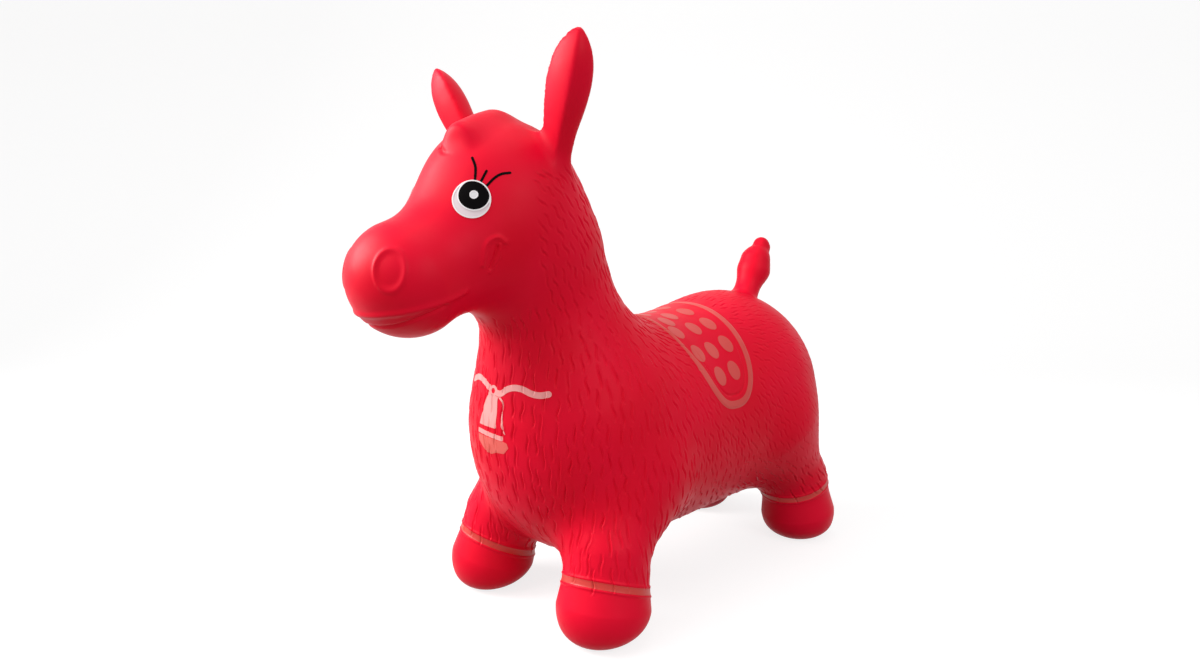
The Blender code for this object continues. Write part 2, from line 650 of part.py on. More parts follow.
def build_valve(trunk, red, white):
    """The bush that lines the air hole, and the plug that closes it from below."""
    seat, inwards = valve_seat()
    bottom, outer, inner, top = valve_levels()
    bush = [
        (VALVE_BORE_RADIUS, bottom), (VALVE_FLANGE_RADIUS, bottom), (VALVE_FLANGE_RADIUS, outer),
        (VALVE_BARREL_RADIUS, outer), (VALVE_BARREL_RADIUS, inner), (VALVE_FLANGE_RADIUS, inner),
        (VALVE_FLANGE_RADIUS, top), (VALVE_BORE_RADIUS, top),
    ]
    finish(add_object("valve_bush", turned("valve_bush", bush, VALVE_SIDES, seat, inwards), trunk), red)
    head_top = bottom - SECTION_GAP
    head_bottom = head_top - PLUG_HEAD_THICKNESS
    shank = VALVE_BORE_RADIUS - SECTION_GAP
    rim = PLUG_HEAD_THICKNESS / 3
    plug = [
        (0, head_bottom), (PLUG_HEAD_RADIUS - rim, head_bottom), (PLUG_HEAD_RADIUS, head_bottom + rim),
        (PLUG_HEAD_RADIUS, head_top), (shank, head_top), (shank, head_top + PLUG_SHANK_LENGTH / 2),
        (PLUG_TIP_RADIUS, head_top + PLUG_SHANK_LENGTH), (0, head_top + PLUG_SHANK_LENGTH),
    ]
    mesh = turned("valve_plug", plug, VALVE_SIDES, seat, inwards)
    finish(add_object("valve_plug", mesh, trunk, seat), white)


def least_facing(vert):
    """How little the faces round a corner face the way the corner does, down to a limit."""
    return max(min(vert.normal.dot(face.normal) for face in vert.link_faces), LEAST_FACING_SHARE)


def paint_layer(name, outer, lift):
    """A thin closed layer all over the outer surface, a lift away from it, from which prints are cut."""
    layer = bmesh.new()
    for distance, inner in ((lift + FILM, False), (lift, True)):
        side = bmesh.new()
        side.from_mesh(outer)
        side.normal_update()
        moves = [vert.normal * distance / least_facing(vert) for vert in side.verts]
        for vert, move in zip(side.verts, moves):
            vert.co += move
        if inner:
            bmesh.ops.reverse_faces(side, faces=side.faces)
        mesh = bpy.data.meshes.new(name)
        side.to_mesh(mesh)
        side.free()
        layer.from_mesh(mesh)
    mesh = bpy.data.meshes.new(name)
    layer.to_mesh(mesh)
    layer.free()
    return mesh


def paint(name, layer, cutter, material, parent):
    """A print: what a cutter holds of a paint layer."""
    obj = add_object(name, layer.copy(), parent, parent["pivot"])
    boolean(obj, hide(add_object(name + "_outline", cutter)), "INTERSECT")
    return finish(obj, material)


def strip(name, rows, closed):
    """A cutter along a strip of the surface, given as rows of four corners across the strip."""
    shape = bmesh.new()
    rings = [[shape.verts.new(corner) for corner in row] for row in rows]
    for i in range(len(rings) if closed else len(rings) - 1):
        here = rings[i]
        beyond = rings[(i + 1) % len(rings)]
        for j in range(4):
            shape.faces.new((here[j], beyond[j], beyond[(j + 1) % 4], here[(j + 1) % 4]))
    if not closed:
        shape.faces.new(rings[0])
        shape.faces.new(list(reversed(rings[-1])))
    bmesh.ops.recalc_face_normals(shape, faces=shape.faces)
    mesh = bpy.data.meshes.new(name)
    shape.to_mesh(mesh)
    shape.free()
    return mesh


def build_eyes(layers, head, white, black):
    """A white, a pupil and a glint on each side of the face."""
    yaw = math.radians(EYE_YAW_DEG)
    pitch = math.radians(EYE_PITCH_DEG)
    gaze = place(math.sin(yaw) * math.cos(pitch), -math.cos(yaw) * math.cos(pitch), math.sin(pitch))
    seat = onto_form(SKULL + gaze * (SKULL_HALF_HEIGHT + OVERRUN), -gaze)
    normal = outward_at(seat)
    pupil = seat + place(PUPIL_OUTWARD * math.cos(yaw), PUPIL_OUTWARD * math.sin(yaw), PUPIL_RISE)
    rounds = (
        ("eye_white", seat, EYE_WHITE_RADIUS, white),
        ("pupil", pupil, PUPIL_RADIUS, black),
        ("eye_glint", pupil, GLINT_RADIUS, white),
    )
    for side, to_side in (("left", np.array), ("right", flipped)):
        for layer, (name, centre, radius, material) in zip(layers, rounds):
            profile = [(0, -OVERRUN / 2), (radius, -OVERRUN / 2), (radius, OVERRUN / 2), (0, OVERRUN / 2)]
            post = turned(name, profile, VALVE_SIDES, to_side(centre), to_side(normal))
            paint(f"{side}_{name}", layer, post, material, head)


def build_saddle(layer, trunk, tan):
    """The band that outlines the saddle: a full oval loop, draped over the back."""
    centre = BELLY[1] - SADDLE_AHEAD_OF_BELLY
    rows = []
    for i in range(SADDLE_STEPS):
        turn = 2 * math.pi * i / SADDLE_STEPS
        across = math.cos(turn)
        backward = math.sin(turn)
        reach = (abs(across) ** SADDLE_POWER + abs(backward) ** SADDLE_POWER) ** (-1 / SADDLE_POWER)
        row = []
        for inset, depths in ((0, (1, -1)), (SADDLE_BAND, (-1, 1))):
            angle = across * reach * (SADDLE_HALF_LENGTH - inset) / BELLY_HALF_WIDTH
            direction = place(math.sin(angle), 0, math.cos(angle))
            axis = place(0, centre + backward * reach * (SADDLE_HALF_WIDTH - inset), BELLY[2])
            point = onto_form(axis + direction * (BELLY_HALF_DEPTH + OVERRUN), -direction)
            row.extend(point + direction * OVERRUN / 2 * depth for depth in depths)
        rows.append(row)
    paint("saddle_border", layer, strip("saddle_border", rows, True), tan, trunk)


def build_bands(layer, trunk, hoofs, ankles, tan):
    """The painted ring above each hoof: below the ankle's flexing line in front, above it behind."""
    sphere = ANKLE_RADIUS * ANKLE_SPHERE_SHARE
    seam = math.sqrt(sphere ** 2 - ANKLE_RADIUS ** 2)
    reach = HOOF_RADIUS * DISH_SPREAD_SHARE
    for name, pivot, hoof, _ in ankles:
        if name.endswith("front"):
            upper = seam + FRONT_BAND_BELOW_SEAM
            carrier = hoofs[name]
        else:
            upper = seam - HIND_BAND_ABOVE_SEAM - BAND_WIDTH
            carrier = trunk
        lower = upper + BAND_WIDTH
        profile = [(0, upper), (reach, upper), (reach, lower), (0, lower)]
        slab = turned(name, profile, VALVE_SIDES, pivot, hoof - pivot)
        paint(f"{name}_band", layer, slab, tan, carrier)


def on_chest(across, upward):
    """A corner in front of the chest and one behind its skin, at distances from the chest's centre."""
    start = CHEST + place(across, -CHEST_HALF_LENGTH - OVERRUN, upward)
    point = onto_form(start, np.array([0, 1, 0]))
    return point - place(0, OVERRUN / 2, 0), point + place(0, OVERRUN / 2, 0)


def across_chest(left, right, left_level, right_level):
    """One row of a cutter across the chest, between two points of it."""
    return [*on_chest(left, left_level), *reversed(on_chest(right, right_level))]


def ribbon_level(across):
    """How far above the chest's centre the ribbon's middle line lies, at a distance from the centre plane."""
    return RIBBON_RISE + RIBBON_SWAY * math.cos(2 * math.pi * across / RIBBON_HALF_SPAN)


def build_chest_print(layer, trunk, peach):
    """A ribbon across the chest with a tassel hanging from its middle."""
    rows = []
    for i in range(RIBBON_STEPS + 1):
        across = (2 * i / RIBBON_STEPS - 1) * RIBBON_HALF_SPAN
        level = ribbon_level(across)
        rows.append(across_chest(across, across, level + RIBBON_WIDTH / 2, level - RIBBON_WIDTH / 2))
    paint("chest_ribbon", layer, strip("chest_ribbon", rows, False), peach, trunk)
    top = ribbon_level(TASSEL_PROFILE_SHARES[0][1] * TASSEL_HALF_WIDTH) - RIBBON_WIDTH / 2 - FILM_GAP * 2
    rows = []
    for drop, share in TASSEL_PROFILE_SHARES:
        half = share * TASSEL_HALF_WIDTH
        level = top - drop * TASSEL_LENGTH
        rows.append(across_chest(-half, half, level, level))
    paint("chest_tassel", layer, strip("chest_tassel", rows, False), peach, trunk)


def main():
    """Builds the whole horse in an empty scene."""
    for obj in list(bpy.data.objects):
        bpy.data.objects.remove(obj)
    red = coating("red_skin", RED, SKIN_ROUGHNESS)
    tan = coating("tan_paint", TAN, PAINT_ROUGHNESS)
    peach = coating("peach_paint", PEACH, PAINT_ROUGHNESS)
    white = coating("white_paint", WHITE, PAINT_ROUGHNESS)
    black = coating("black_paint", BLACK, PAINT_ROUGHNESS)
    outer, skin = skin_meshes()
    trunk, head, hoofs, ankles = build_skin(skin, red)
    build_valve(trunk, red, white)
    layers = [paint_layer(f"layer_{i}", outer, FILM_GAP + i * (FILM + FILM_GAP)) for i in range(3)]
    build_eyes(layers, head, white, black)
    build_saddle(layers[0], trunk, tan)
    build_bands(layers[0], trunk, hoofs, ankles, tan)
    build_chest_print(layers[0], trunk, peach)


main()
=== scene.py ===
"""The look of an inflatable ride-on horse: satin red skin with moulded fur, a face and thin paint.

The skin is one blended form of ellipsoids and limbs, as the solids are, with fur, face, saddle pad and
hoof rings moulded into it as relief. It is divided where the joints bend it, with no gap between the
pieces. Each print is a thin film cut from the skin's own surface.

The horse faces -Y, its left side is +X, and it stands on z = 0. Units are metres.
"""
import json
import math

import bpy
import numpy as np
from mathutils import Vector
from mathutils.kdtree import KDTree
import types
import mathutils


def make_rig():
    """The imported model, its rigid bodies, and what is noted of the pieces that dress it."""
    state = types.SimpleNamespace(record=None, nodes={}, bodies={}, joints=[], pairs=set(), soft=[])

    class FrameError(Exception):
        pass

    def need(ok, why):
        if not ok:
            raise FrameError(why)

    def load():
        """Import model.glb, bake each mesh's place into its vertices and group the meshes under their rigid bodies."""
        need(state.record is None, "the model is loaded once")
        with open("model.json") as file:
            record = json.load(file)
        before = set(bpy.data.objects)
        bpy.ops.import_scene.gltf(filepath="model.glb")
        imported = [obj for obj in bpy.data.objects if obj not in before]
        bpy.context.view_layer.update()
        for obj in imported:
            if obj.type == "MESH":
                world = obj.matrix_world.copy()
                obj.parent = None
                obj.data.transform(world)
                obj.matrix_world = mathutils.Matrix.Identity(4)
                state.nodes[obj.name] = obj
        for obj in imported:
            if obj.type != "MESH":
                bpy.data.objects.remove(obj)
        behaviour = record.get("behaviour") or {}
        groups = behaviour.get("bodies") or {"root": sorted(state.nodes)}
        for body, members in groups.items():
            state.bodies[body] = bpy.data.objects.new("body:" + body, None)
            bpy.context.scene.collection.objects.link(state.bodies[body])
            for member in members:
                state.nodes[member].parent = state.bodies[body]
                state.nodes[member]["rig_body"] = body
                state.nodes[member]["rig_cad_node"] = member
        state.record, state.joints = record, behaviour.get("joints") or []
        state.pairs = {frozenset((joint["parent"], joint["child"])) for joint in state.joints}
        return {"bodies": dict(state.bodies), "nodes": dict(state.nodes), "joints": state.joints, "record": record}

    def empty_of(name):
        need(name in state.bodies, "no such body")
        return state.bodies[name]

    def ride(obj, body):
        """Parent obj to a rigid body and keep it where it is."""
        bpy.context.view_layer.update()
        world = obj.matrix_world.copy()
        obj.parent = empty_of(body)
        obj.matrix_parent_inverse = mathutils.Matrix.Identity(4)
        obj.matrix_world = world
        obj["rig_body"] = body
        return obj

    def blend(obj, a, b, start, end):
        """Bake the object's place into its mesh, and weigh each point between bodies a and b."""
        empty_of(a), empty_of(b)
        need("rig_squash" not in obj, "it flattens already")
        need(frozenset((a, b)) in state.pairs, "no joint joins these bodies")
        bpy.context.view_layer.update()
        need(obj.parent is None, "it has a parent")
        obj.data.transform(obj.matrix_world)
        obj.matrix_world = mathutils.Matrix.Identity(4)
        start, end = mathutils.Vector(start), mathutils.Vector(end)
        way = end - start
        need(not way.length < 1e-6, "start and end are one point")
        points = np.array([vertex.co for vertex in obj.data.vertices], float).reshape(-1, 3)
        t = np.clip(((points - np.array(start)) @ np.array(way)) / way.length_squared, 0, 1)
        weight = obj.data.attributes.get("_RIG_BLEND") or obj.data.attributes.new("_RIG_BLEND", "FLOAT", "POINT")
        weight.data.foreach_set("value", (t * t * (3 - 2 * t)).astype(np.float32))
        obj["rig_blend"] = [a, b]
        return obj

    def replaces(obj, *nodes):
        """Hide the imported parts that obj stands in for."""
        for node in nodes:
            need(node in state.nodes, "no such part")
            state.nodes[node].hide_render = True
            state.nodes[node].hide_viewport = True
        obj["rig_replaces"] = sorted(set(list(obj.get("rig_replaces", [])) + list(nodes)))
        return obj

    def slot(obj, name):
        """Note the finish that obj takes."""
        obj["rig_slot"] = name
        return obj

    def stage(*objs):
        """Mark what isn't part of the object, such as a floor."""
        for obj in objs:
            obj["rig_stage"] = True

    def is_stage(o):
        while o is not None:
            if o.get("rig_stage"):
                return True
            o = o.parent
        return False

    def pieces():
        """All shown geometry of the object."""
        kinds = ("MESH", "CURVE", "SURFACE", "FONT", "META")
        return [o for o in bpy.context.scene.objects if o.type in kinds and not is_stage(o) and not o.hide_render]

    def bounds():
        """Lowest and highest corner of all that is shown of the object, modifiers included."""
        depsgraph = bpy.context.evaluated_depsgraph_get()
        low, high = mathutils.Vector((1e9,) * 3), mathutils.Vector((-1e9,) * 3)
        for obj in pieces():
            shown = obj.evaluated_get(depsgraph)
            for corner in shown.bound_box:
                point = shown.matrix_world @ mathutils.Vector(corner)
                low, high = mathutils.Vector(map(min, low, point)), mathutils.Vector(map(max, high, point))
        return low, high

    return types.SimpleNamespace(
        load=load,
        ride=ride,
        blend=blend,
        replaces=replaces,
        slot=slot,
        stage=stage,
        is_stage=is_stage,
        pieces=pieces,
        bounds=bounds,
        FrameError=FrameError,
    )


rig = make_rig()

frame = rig.load()
CAD_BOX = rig.bounds()


def at(across, back, up):
    """A point, from its distances to the left, to the rear and up."""
    return np.array((across, back, up))


CURVE_STEPS = 10


def curve(route):
    """Points along a smooth curve through the route's points."""
    route = np.array(route)
    ends = np.concatenate([[2 * route[0] - route[1]], route, [2 * route[-1] - route[-2]]])
    line = []
    for before, first, second, after in zip(ends, ends[1:], ends[2:], ends[3:]):
        for i in range(CURVE_STEPS):
            t = i / CURVE_STEPS
            pull = (second - before) * t + (2 * before - 5 * first + 4 * second - after) * t * t
            line.append(first + 0.5 * (pull + (3 * (first - second) + after - before) * t ** 3))
    return np.array(line + [route[-1]])


# The camera, at the photograph's angle
PHOTO_WIDTH = 1200
SENSOR_WIDTH = 36
FOCAL_PIXELS = 753.5
CAMERA_TURN = math.radians(45)
CAMERA_RISE = math.radians(6.86)
CAMERA_DISTANCE = 0.779
CAMERA_TARGET = at(-0.0278, 0.0042, 0.2484)

# The trunk and the neck: centres and half sizes of the blended forms
CHEST = (at(0, -0.043, 0.159), at(0.104, 0.112, 0.112))
BELLY = (at(0, 0.067, 0.159), at(0.1015, 0.112, 0.109))
RUMP = (at(0, 0.173, 0.172), at(0.112, 0.1065, 0.117))
NECK_ROOT = at(0, -0.0715, 0.2105)
NECK_TOP = at(0, -0.102, 0.326)
NECK_RADII = (0.0705, 0.0595)
BODY_BLEND = 0.050

# The head: skull, muzzle, ears and forelock
SKULL = (at(0, -0.1425, 0.365), at(0.068, 0.075, 0.081))
JAW = at(0, -0.1735, 0.345)
NOSE = at(0, -0.2345, 0.3155)
MUZZLE_RADII = (0.041, 0.0465)
MUZZLE_FLATNESS = 1.08
HEAD_BLEND = 0.030
EAR_ROOT = at(0.058, -0.129, 0.4275)
EAR_TIP = at(0.0965, -0.1415, 0.502)
EAR_HALF_WIDTH = 0.0180
EAR_HALF_THICKNESS = 0.0146
EAR_STATION_SHARES = (-0.3, 0.0, 0.12, 0.25, 0.40, 0.55, 0.70, 0.82, 0.91, 0.97, 1.0, 1.1)
EAR_WIDTH_SHARES = (0.76, 0.78, 0.83, 0.92, 1.0, 1.02, 0.94, 0.76, 0.51, 0.26, 0.08, -0.6)
EAR_TURN = math.radians(28)
EAR_SKEW = 0.35
EAR_POWER = 1.35
EAR_SLOPE = 0.7
EAR_LEAF = curve(np.array([EAR_STATION_SHARES, EAR_WIDTH_SHARES]).T)
FORELOCK_ROOT = at(0, -0.150, 0.434)
FORELOCK_END = at(0.011, -0.187, 0.4245)
FORELOCK_RADII = (0.018, 0.0140)
FORELOCK_FACE = at(0.0120, -0.1975, 0.4220)
FORELOCK_FACING = at(0.30, -0.90, -0.32)
SMALL_BLEND = 0.012
EDGE_BLEND = 0.005

# Legs and tail
FRONT_LEG = (at(0.058, -0.040, 0.126), at(0.0745, -0.088, 0.072), at(0.079, -0.098, 0.028))
HIND_LEG = (at(0.067, 0.180, 0.141), at(0.071, 0.228, 0.072), at(0.073, 0.235, 0.030))
LEG_RADII = (0.046, 0.0345, 0.042)
FRONT_SOLE = (math.radians(12), 0.030, 0.0065)
HIND_SOLE = (math.radians(4), 0.008, 0.005)
SOLE_BLEND = 0.022
TAIL_ROUTE = (
    at(0, 0.213, 0.271), at(0, 0.2268, 0.2867), at(0, 0.2408, 0.3104),
    at(0, 0.2448, 0.3224), at(0, 0.2568, 0.3376), at(0, 0.2558, 0.3413),
)
TAIL_RADII = (0.013, 0.0138, 0.0190, 0.0170, 0.0097, 0.0090)
TAIL_BLEND = 0.015
TAIL_WAVE_BLEND = 0.004

# How finely the surface is laid out
CELL = 0.0066
BOX_LOW = at(-0.135, -0.300, -0.010)
BOX_HIGH = at(0.135, 0.300, 0.520)
SLOPE_STEP = 0.0004
TINY = 1e-9
FLOOR = 0.0
RELAX_ROUNDS = 4
REFINE_ROUNDS = 2
RELIEF_STEP = 0.00005


def lengths(vectors):
    """Each vector's length."""
    return np.linalg.norm(vectors, axis=-1)


def ellipsoid(points, centre, radii):
    """Distance from an ellipsoid, exact to first order at its surface."""
    offset = points - centre
    near = lengths(offset / radii)
    slope = lengths(offset / (radii * radii))
    return near * (near - 1) / np.maximum(slope, TINY)


def limb(points, start, end, radii, flatness=1):
    """Distance from a tapered round limb; flatness widens it from side to side."""
    squeeze = np.array([flatness, 1, 1])
    offset = (points - start) / squeeze
    along = (end - start) / squeeze
    share = np.clip(offset @ along / (along @ along), 0, 1)
    radius = radii[0] + (radii[1] - radii[0]) * share
    return lengths(offset - share[..., None] * along) - radius


def blend(first, second, width):
    """The union of two distances, filleted over a width."""
    mix = np.clip(0.5 + 0.5 * (second - first) / width, 0, 1)
    return second + (first - second) * mix - width * mix * (1 - mix)


def carve(first, second, width):
    """What two distances share, its edge rounded over a width."""
    return -blend(-first, -second, width)


def leg(points, route, sole):
    """A thigh that tapers to the ankle and swells into a hoof with a tilted sole."""
    hip, ankle, hoof = route
    tilt, toe_reach, drop = sole
    thigh = limb(points, hip, ankle, LEG_RADII[:2])
    bell = limb(points, ankle, hoof, LEG_RADII[1:])
    behind_toe = points[..., 1] - (hoof[1] - toe_reach)
    under = behind_toe * math.sin(tilt) - points[..., 2] * math.cos(tilt) - drop
    return blend(thigh, carve(bell, under, SOLE_BLEND), SMALL_BLEND)


def ear(points):
    """A leaf from the ear's root to its tip, with a soft ridge along both faces."""
    along = EAR_TIP - EAR_ROOT
    length = np.linalg.norm(along)
    along = along / length
    offset = points - EAR_ROOT
    width = EAR_HALF_WIDTH * np.interp(offset @ along / length, *EAR_LEAF.T)
    sideways = at(math.cos(EAR_TURN), math.sin(EAR_TURN), 0)
    sideways = sideways - along * (along @ sideways)
    sideways /= np.linalg.norm(sideways)
    depth = offset @ np.cross(along, sideways)
    across = np.abs(offset @ sideways + EAR_SKEW * np.minimum(depth, 0))
    through = np.abs(depth) * EAR_HALF_WIDTH / EAR_HALF_THICKNESS
    reach = (across ** EAR_POWER + through ** EAR_POWER) ** (1 / EAR_POWER)
    return (reach - width) * EAR_SLOPE


def tail(points):
    """A stub that swells, narrows in a wave and ends in a round tip."""
    pairs = zip(zip(TAIL_ROUTE, TAIL_ROUTE[1:]), zip(TAIL_RADII, TAIL_RADII[1:]))
    runs = [limb(points, *ends, radii) for ends, radii in pairs]
    stub = runs[0]
    for run in runs[1:]:
        stub = blend(stub, run, TAIL_WAVE_BLEND)
    return stub


def forelock(points):
    """A rounded tuft on the brow, cut off blunt at its end."""
    tuft = limb(points, FORELOCK_ROOT, FORELOCK_END, FORELOCK_RADII)
    return carve(tuft, (points - FORELOCK_FACE) @ FORELOCK_FACING, EDGE_BLEND)


def form(points):
    """Distance from the whole horse's surface: negative inside it."""
    trunk = blend(ellipsoid(points, *CHEST), ellipsoid(points, *BELLY), BODY_BLEND)
    trunk = blend(trunk, ellipsoid(points, *RUMP), BODY_BLEND)
    trunk = blend(trunk, limb(points, NECK_ROOT, NECK_TOP, NECK_RADII), BODY_BLEND)
    muzzle = limb(points, JAW, NOSE, MUZZLE_RADII, MUZZLE_FLATNESS)
    horse = blend(trunk, blend(ellipsoid(points, *SKULL), muzzle, HEAD_BLEND), HEAD_BLEND)
    sides = mirrored(points)
    legs = np.minimum(leg(sides, FRONT_LEG, FRONT_SOLE), leg(sides, HIND_LEG, HIND_SOLE))
    horse = blend(horse, legs, HEAD_BLEND)
    horse = blend(horse, ear(sides), SMALL_BLEND)
    horse = blend(horse, tail(points), TAIL_BLEND)
    return blend(horse, forelock(points), SMALL_BLEND)


def mirrored(points):
    """The points with those on the right moved over to the left side."""
    sides = np.array(points)
    sides[..., 0] = np.abs(sides[..., 0])
    return sides


def slope_at(points):
    """The gradient of the form's distance."""
    steps = SLOPE_STEP * np.eye(3)
    return np.stack([form(points + s) - form(points - s) for s in steps], axis=-1) / (2 * SLOPE_STEP)


def unit(vectors):
    """The vectors, each with length one."""
    return vectors / np.maximum(np.linalg.norm(vectors, axis=-1, keepdims=True), TINY)


def settle(points, rounds=1):
    """Moves points onto the form's surface."""
    for _ in range(rounds):
        here = form(points)
        rises = [form(points + step) - here for step in SLOPE_STEP * np.eye(3)]
        slope = np.stack(rises, axis=-1) / SLOPE_STEP
        points = points - slope * (here / np.maximum((slope * slope).sum(axis=-1), TINY))[:, None]
    return points


def first_net():
    """A net over the form: a point in each crossed cell and a quad on each crossed edge."""
    count = np.ceil((BOX_HIGH - BOX_LOW) / CELL).astype(int) + 1
    axes = [BOX_LOW[i] + CELL * np.arange(count[i]) for i in range(3)]
    values = form(np.stack(np.meshgrid(*axes, indexing="ij"), axis=-1))
    inside = values < 0
    cut = count - 1
    steps = [np.array(step) for step in np.ndindex(2, 2, 2)]
    filled = sum(inside[i:cut[0] + i, j:cut[1] + j, k:cut[2] + k].astype(int) for i, j, k in steps)
    crossed = (filled > 0) & (filled < len(steps))
    cells = np.argwhere(crossed)
    index = np.full(cut, -1)
    index[crossed] = np.arange(len(cells))
    whole = np.eye(3, dtype=int)
    total = np.zeros((len(cells), 3))
    edges = np.zeros(len(cells))
    for step in steps:
        for axis in np.flatnonzero(step == 0):
            first = values[tuple((cells + step).T)]
            second = values[tuple((cells + step + whole[axis]).T)]
            passes = (first < 0) != (second < 0)
            share = first[passes] / (first[passes] - second[passes])
            total[passes] += step + share[:, None] * whole[axis]
            edges[passes] += 1
    quads = []
    for axis in range(3):
        one = whole[(axis + 1) % 3]
        two = whole[(axis + 2) % 3]
        here = inside.take(range(count[axis] - 1), axis)
        beyond = inside.take(range(1, count[axis]), axis)
        edge = np.argwhere(here != beyond)
        ring = np.stack([index[tuple((edge - s).T)] for s in (one + two, two, 0 * one, one)], axis=1)
        backwards = beyond[tuple(edge.T)]
        ring[backwards] = ring[backwards][:, ::-1]
        quads.append(ring)
    return BOX_LOW + CELL * (cells + total / edges[:, None]), np.concatenate(quads)


def relaxed(points, quads):
    """Each point moved to the middle of its neighbours."""
    start = quads.ravel()
    end = np.roll(quads, -1, axis=1).ravel()
    number = np.bincount(start, minlength=len(points))
    total = [np.bincount(start, points[end, i], len(points)) for i in range(3)]
    return np.stack(total, axis=1) / number[:, None]


def refined(quads, points, chosen=None):
    """Splits the chosen quads in four.

    Gives the new quads, the other quads, each as it was or with the new points in its rim, and the
    points with the new ones at the end.
    """
    if chosen is None:
        chosen = np.ones(len(quads), dtype=bool)
    number = len(points)
    low = np.minimum(quads, np.roll(quads, -1, axis=1))
    high = np.maximum(quads, np.roll(quads, -1, axis=1))
    keys = low * number + high
    split = np.unique(keys[chosen])
    row = np.searchsorted(split, keys)
    row[row == len(split)] = 0
    middle = np.where(split[row] == keys, number + row, -1)
    parts = quads[chosen]
    centre = number + len(split) + np.arange(len(parts))
    mid = middle[chosen]
    fours = [np.stack([parts[:, i], mid[:, i], centre, mid[:, i - 1]], axis=1) for i in range(4)]
    ends = np.stack([split // number, split % number], axis=1)
    grown = np.concatenate([points, points[ends].mean(axis=1), points[parts].mean(axis=1)])
    others = np.stack([quads, middle], axis=2).reshape(len(quads), -1)[~chosen]
    rims = [[corner for corner in rim if corner >= 0] for rim in others.tolist()]
    return np.concatenate(fours), rims, grown


def smooth(value, low, high):
    """Rises smoothly from 0 at low to 1 at high."""
    share = np.clip((value - low) / (high - low), 0, 1)
    return share * share * (3 - 2 * share)


def hill(distance, width):
    """A round bump of height 1."""
    return np.exp(-(distance / width) ** 2)


def off_curve(points, route):
    """Each point's distance from a smooth curve through the route's points."""
    line = curve(route)
    best = np.full(len(points), np.inf)
    for start, end in zip(line, line[1:]):
        run = end - start
        share = np.clip((points - start) @ run / (run @ run), 0, 1)
        best = np.minimum(best, lengths(points - start - share[:, None] * run))
    return best


def outside_polygon(points, corners):
    """Signed distance from a flat polygon, negative inside it."""
    corners = np.array(corners)
    best = np.full(len(points), np.inf)
    inside = np.zeros(len(points), dtype=bool)
    for first, second in zip(corners, np.roll(corners, -1, axis=0)):
        run = second - first
        offset = points - first
        share = np.clip(offset @ run / (run @ run), 0, 1)
        best = np.minimum(best, lengths(offset - share[:, None] * run))
        spans = (first[1] > points[:, 1]) != (second[1] > points[:, 1])
        rise = run[1] if run[1] else TINY
        inside ^= spans & (offset[:, 0] < run[0] * offset[:, 1] / rise)
    return np.where(inside, -best, best)


# How deep behind a flat frame points still count as in it, and a distance beyond all prints
FRAME_DEPTH = 0.020
FAR = 1.0


def flat_frame(seat, normal):
    """The directions across, to the right as seen from outside, and up of a frame laid on the skin."""
    normal = unit(normal)
    across = unit(np.cross(at(0, 0, 1), normal))
    return seat, normal, across, np.cross(normal, across)


def flat_places(points, flat):
    """The points' places across and up a flat frame, far off for points that lie deep behind it."""
    seat, normal, across, up = flat
    offset = points - seat
    far = np.where(offset @ normal < -FRAME_DEPTH, FAR, 0)
    return np.stack([offset @ across + far, offset @ up], axis=1)


# The eye, its lashes and the nostril, whose ridge has its height and half width
EYE = flat_frame(at(0.0429, -0.2036, 0.3754), at(0.70, -0.65, 0.31))
EYE_SIZE = (0.0147, 0.0152)
EYE_RIM = 0.0010
PUPIL_PLACE = (0.0018, 0.0033)
PUPIL_RADIUS = 0.0117
GLINT_RADIUS = 0.0030
LASH_HALF_WIDTH = 0.0010
LASHES = (
    ((0.0409, -0.1986, 0.3885), (0.0381, -0.1959, 0.3996), (0.0330, -0.1951, 0.4074)),
    ((0.0442, -0.1959, 0.3880), (0.0449, -0.1906, 0.3969)),
    (
        (0.0480, -0.1928, 0.3856), (0.0501, -0.1872, 0.3915),
        (0.0522, -0.1820, 0.3947), (0.0551, -0.1760, 0.3958),
    ),
)

NOSTRIL = flat_frame(at(0.0325, -0.2685, 0.3233), at(0.55, -0.82, 0.10))
NOSTRIL_SIZE = (0.0115, 0.0155)
NOSTRIL_RIDGE = (0.0008, 0.0017)
NOSTRIL_DEPTH = 0.0008
NOSTRIL_DISC = (0.6, 1.0)

# Curves on the face: a ridge's height or a groove's depth, its half width and its route
UPPER_LIP = (0.0014, 0.0026, (
    (0, -0.2730, 0.2890), (0.0200, -0.2690, 0.2895), (0.0316, -0.2615, 0.2914),
    (0.0423, -0.2489, 0.2949), (0.0468, -0.2340, 0.2990), (0.0459, -0.2210, 0.3024),
    (0.0447, -0.2120, 0.3057),
))
MOUTH_GROOVE = (0.0016, 0.0016, (
    (0, -0.2650, 0.2808), (0.0157, -0.2618, 0.2807), (0.0249, -0.2579, 0.2826),
    (0.0388, -0.2470, 0.2887), (0.0457, -0.2316, 0.2963),
))
CHEEK_RIDGE = (0.0013, 0.0019, (
    (0.0507, -0.2002, 0.3257), (0.0531, -0.1981, 0.3410), (0.0564, -0.1901, 0.3468),
    (0.0584, -0.1838, 0.3431),
))
CHEEK_GROOVE = (0.0016, 0.0012, (
    (0.0561, -0.1897, 0.3400), (0.0547, -0.1908, 0.3340), (0.0513, -0.1932, 0.3235),
))
CHEEK_SWELL = (0.0008, 0.0013, (
    (0.0567, -0.1879, 0.3410), (0.0552, -0.1878, 0.3326), (0.0500, -0.1934, 0.3199),
))
FORELOCK_GROOVE = (0.0032, 0.0022, (
    (-0.0030, -0.1990, 0.4180), (0.0050, -0.2010, 0.4130), (0.0130, -0.1990, 0.4100),
))
FACE_REAR = -0.165
FACE_LOW = 0.260

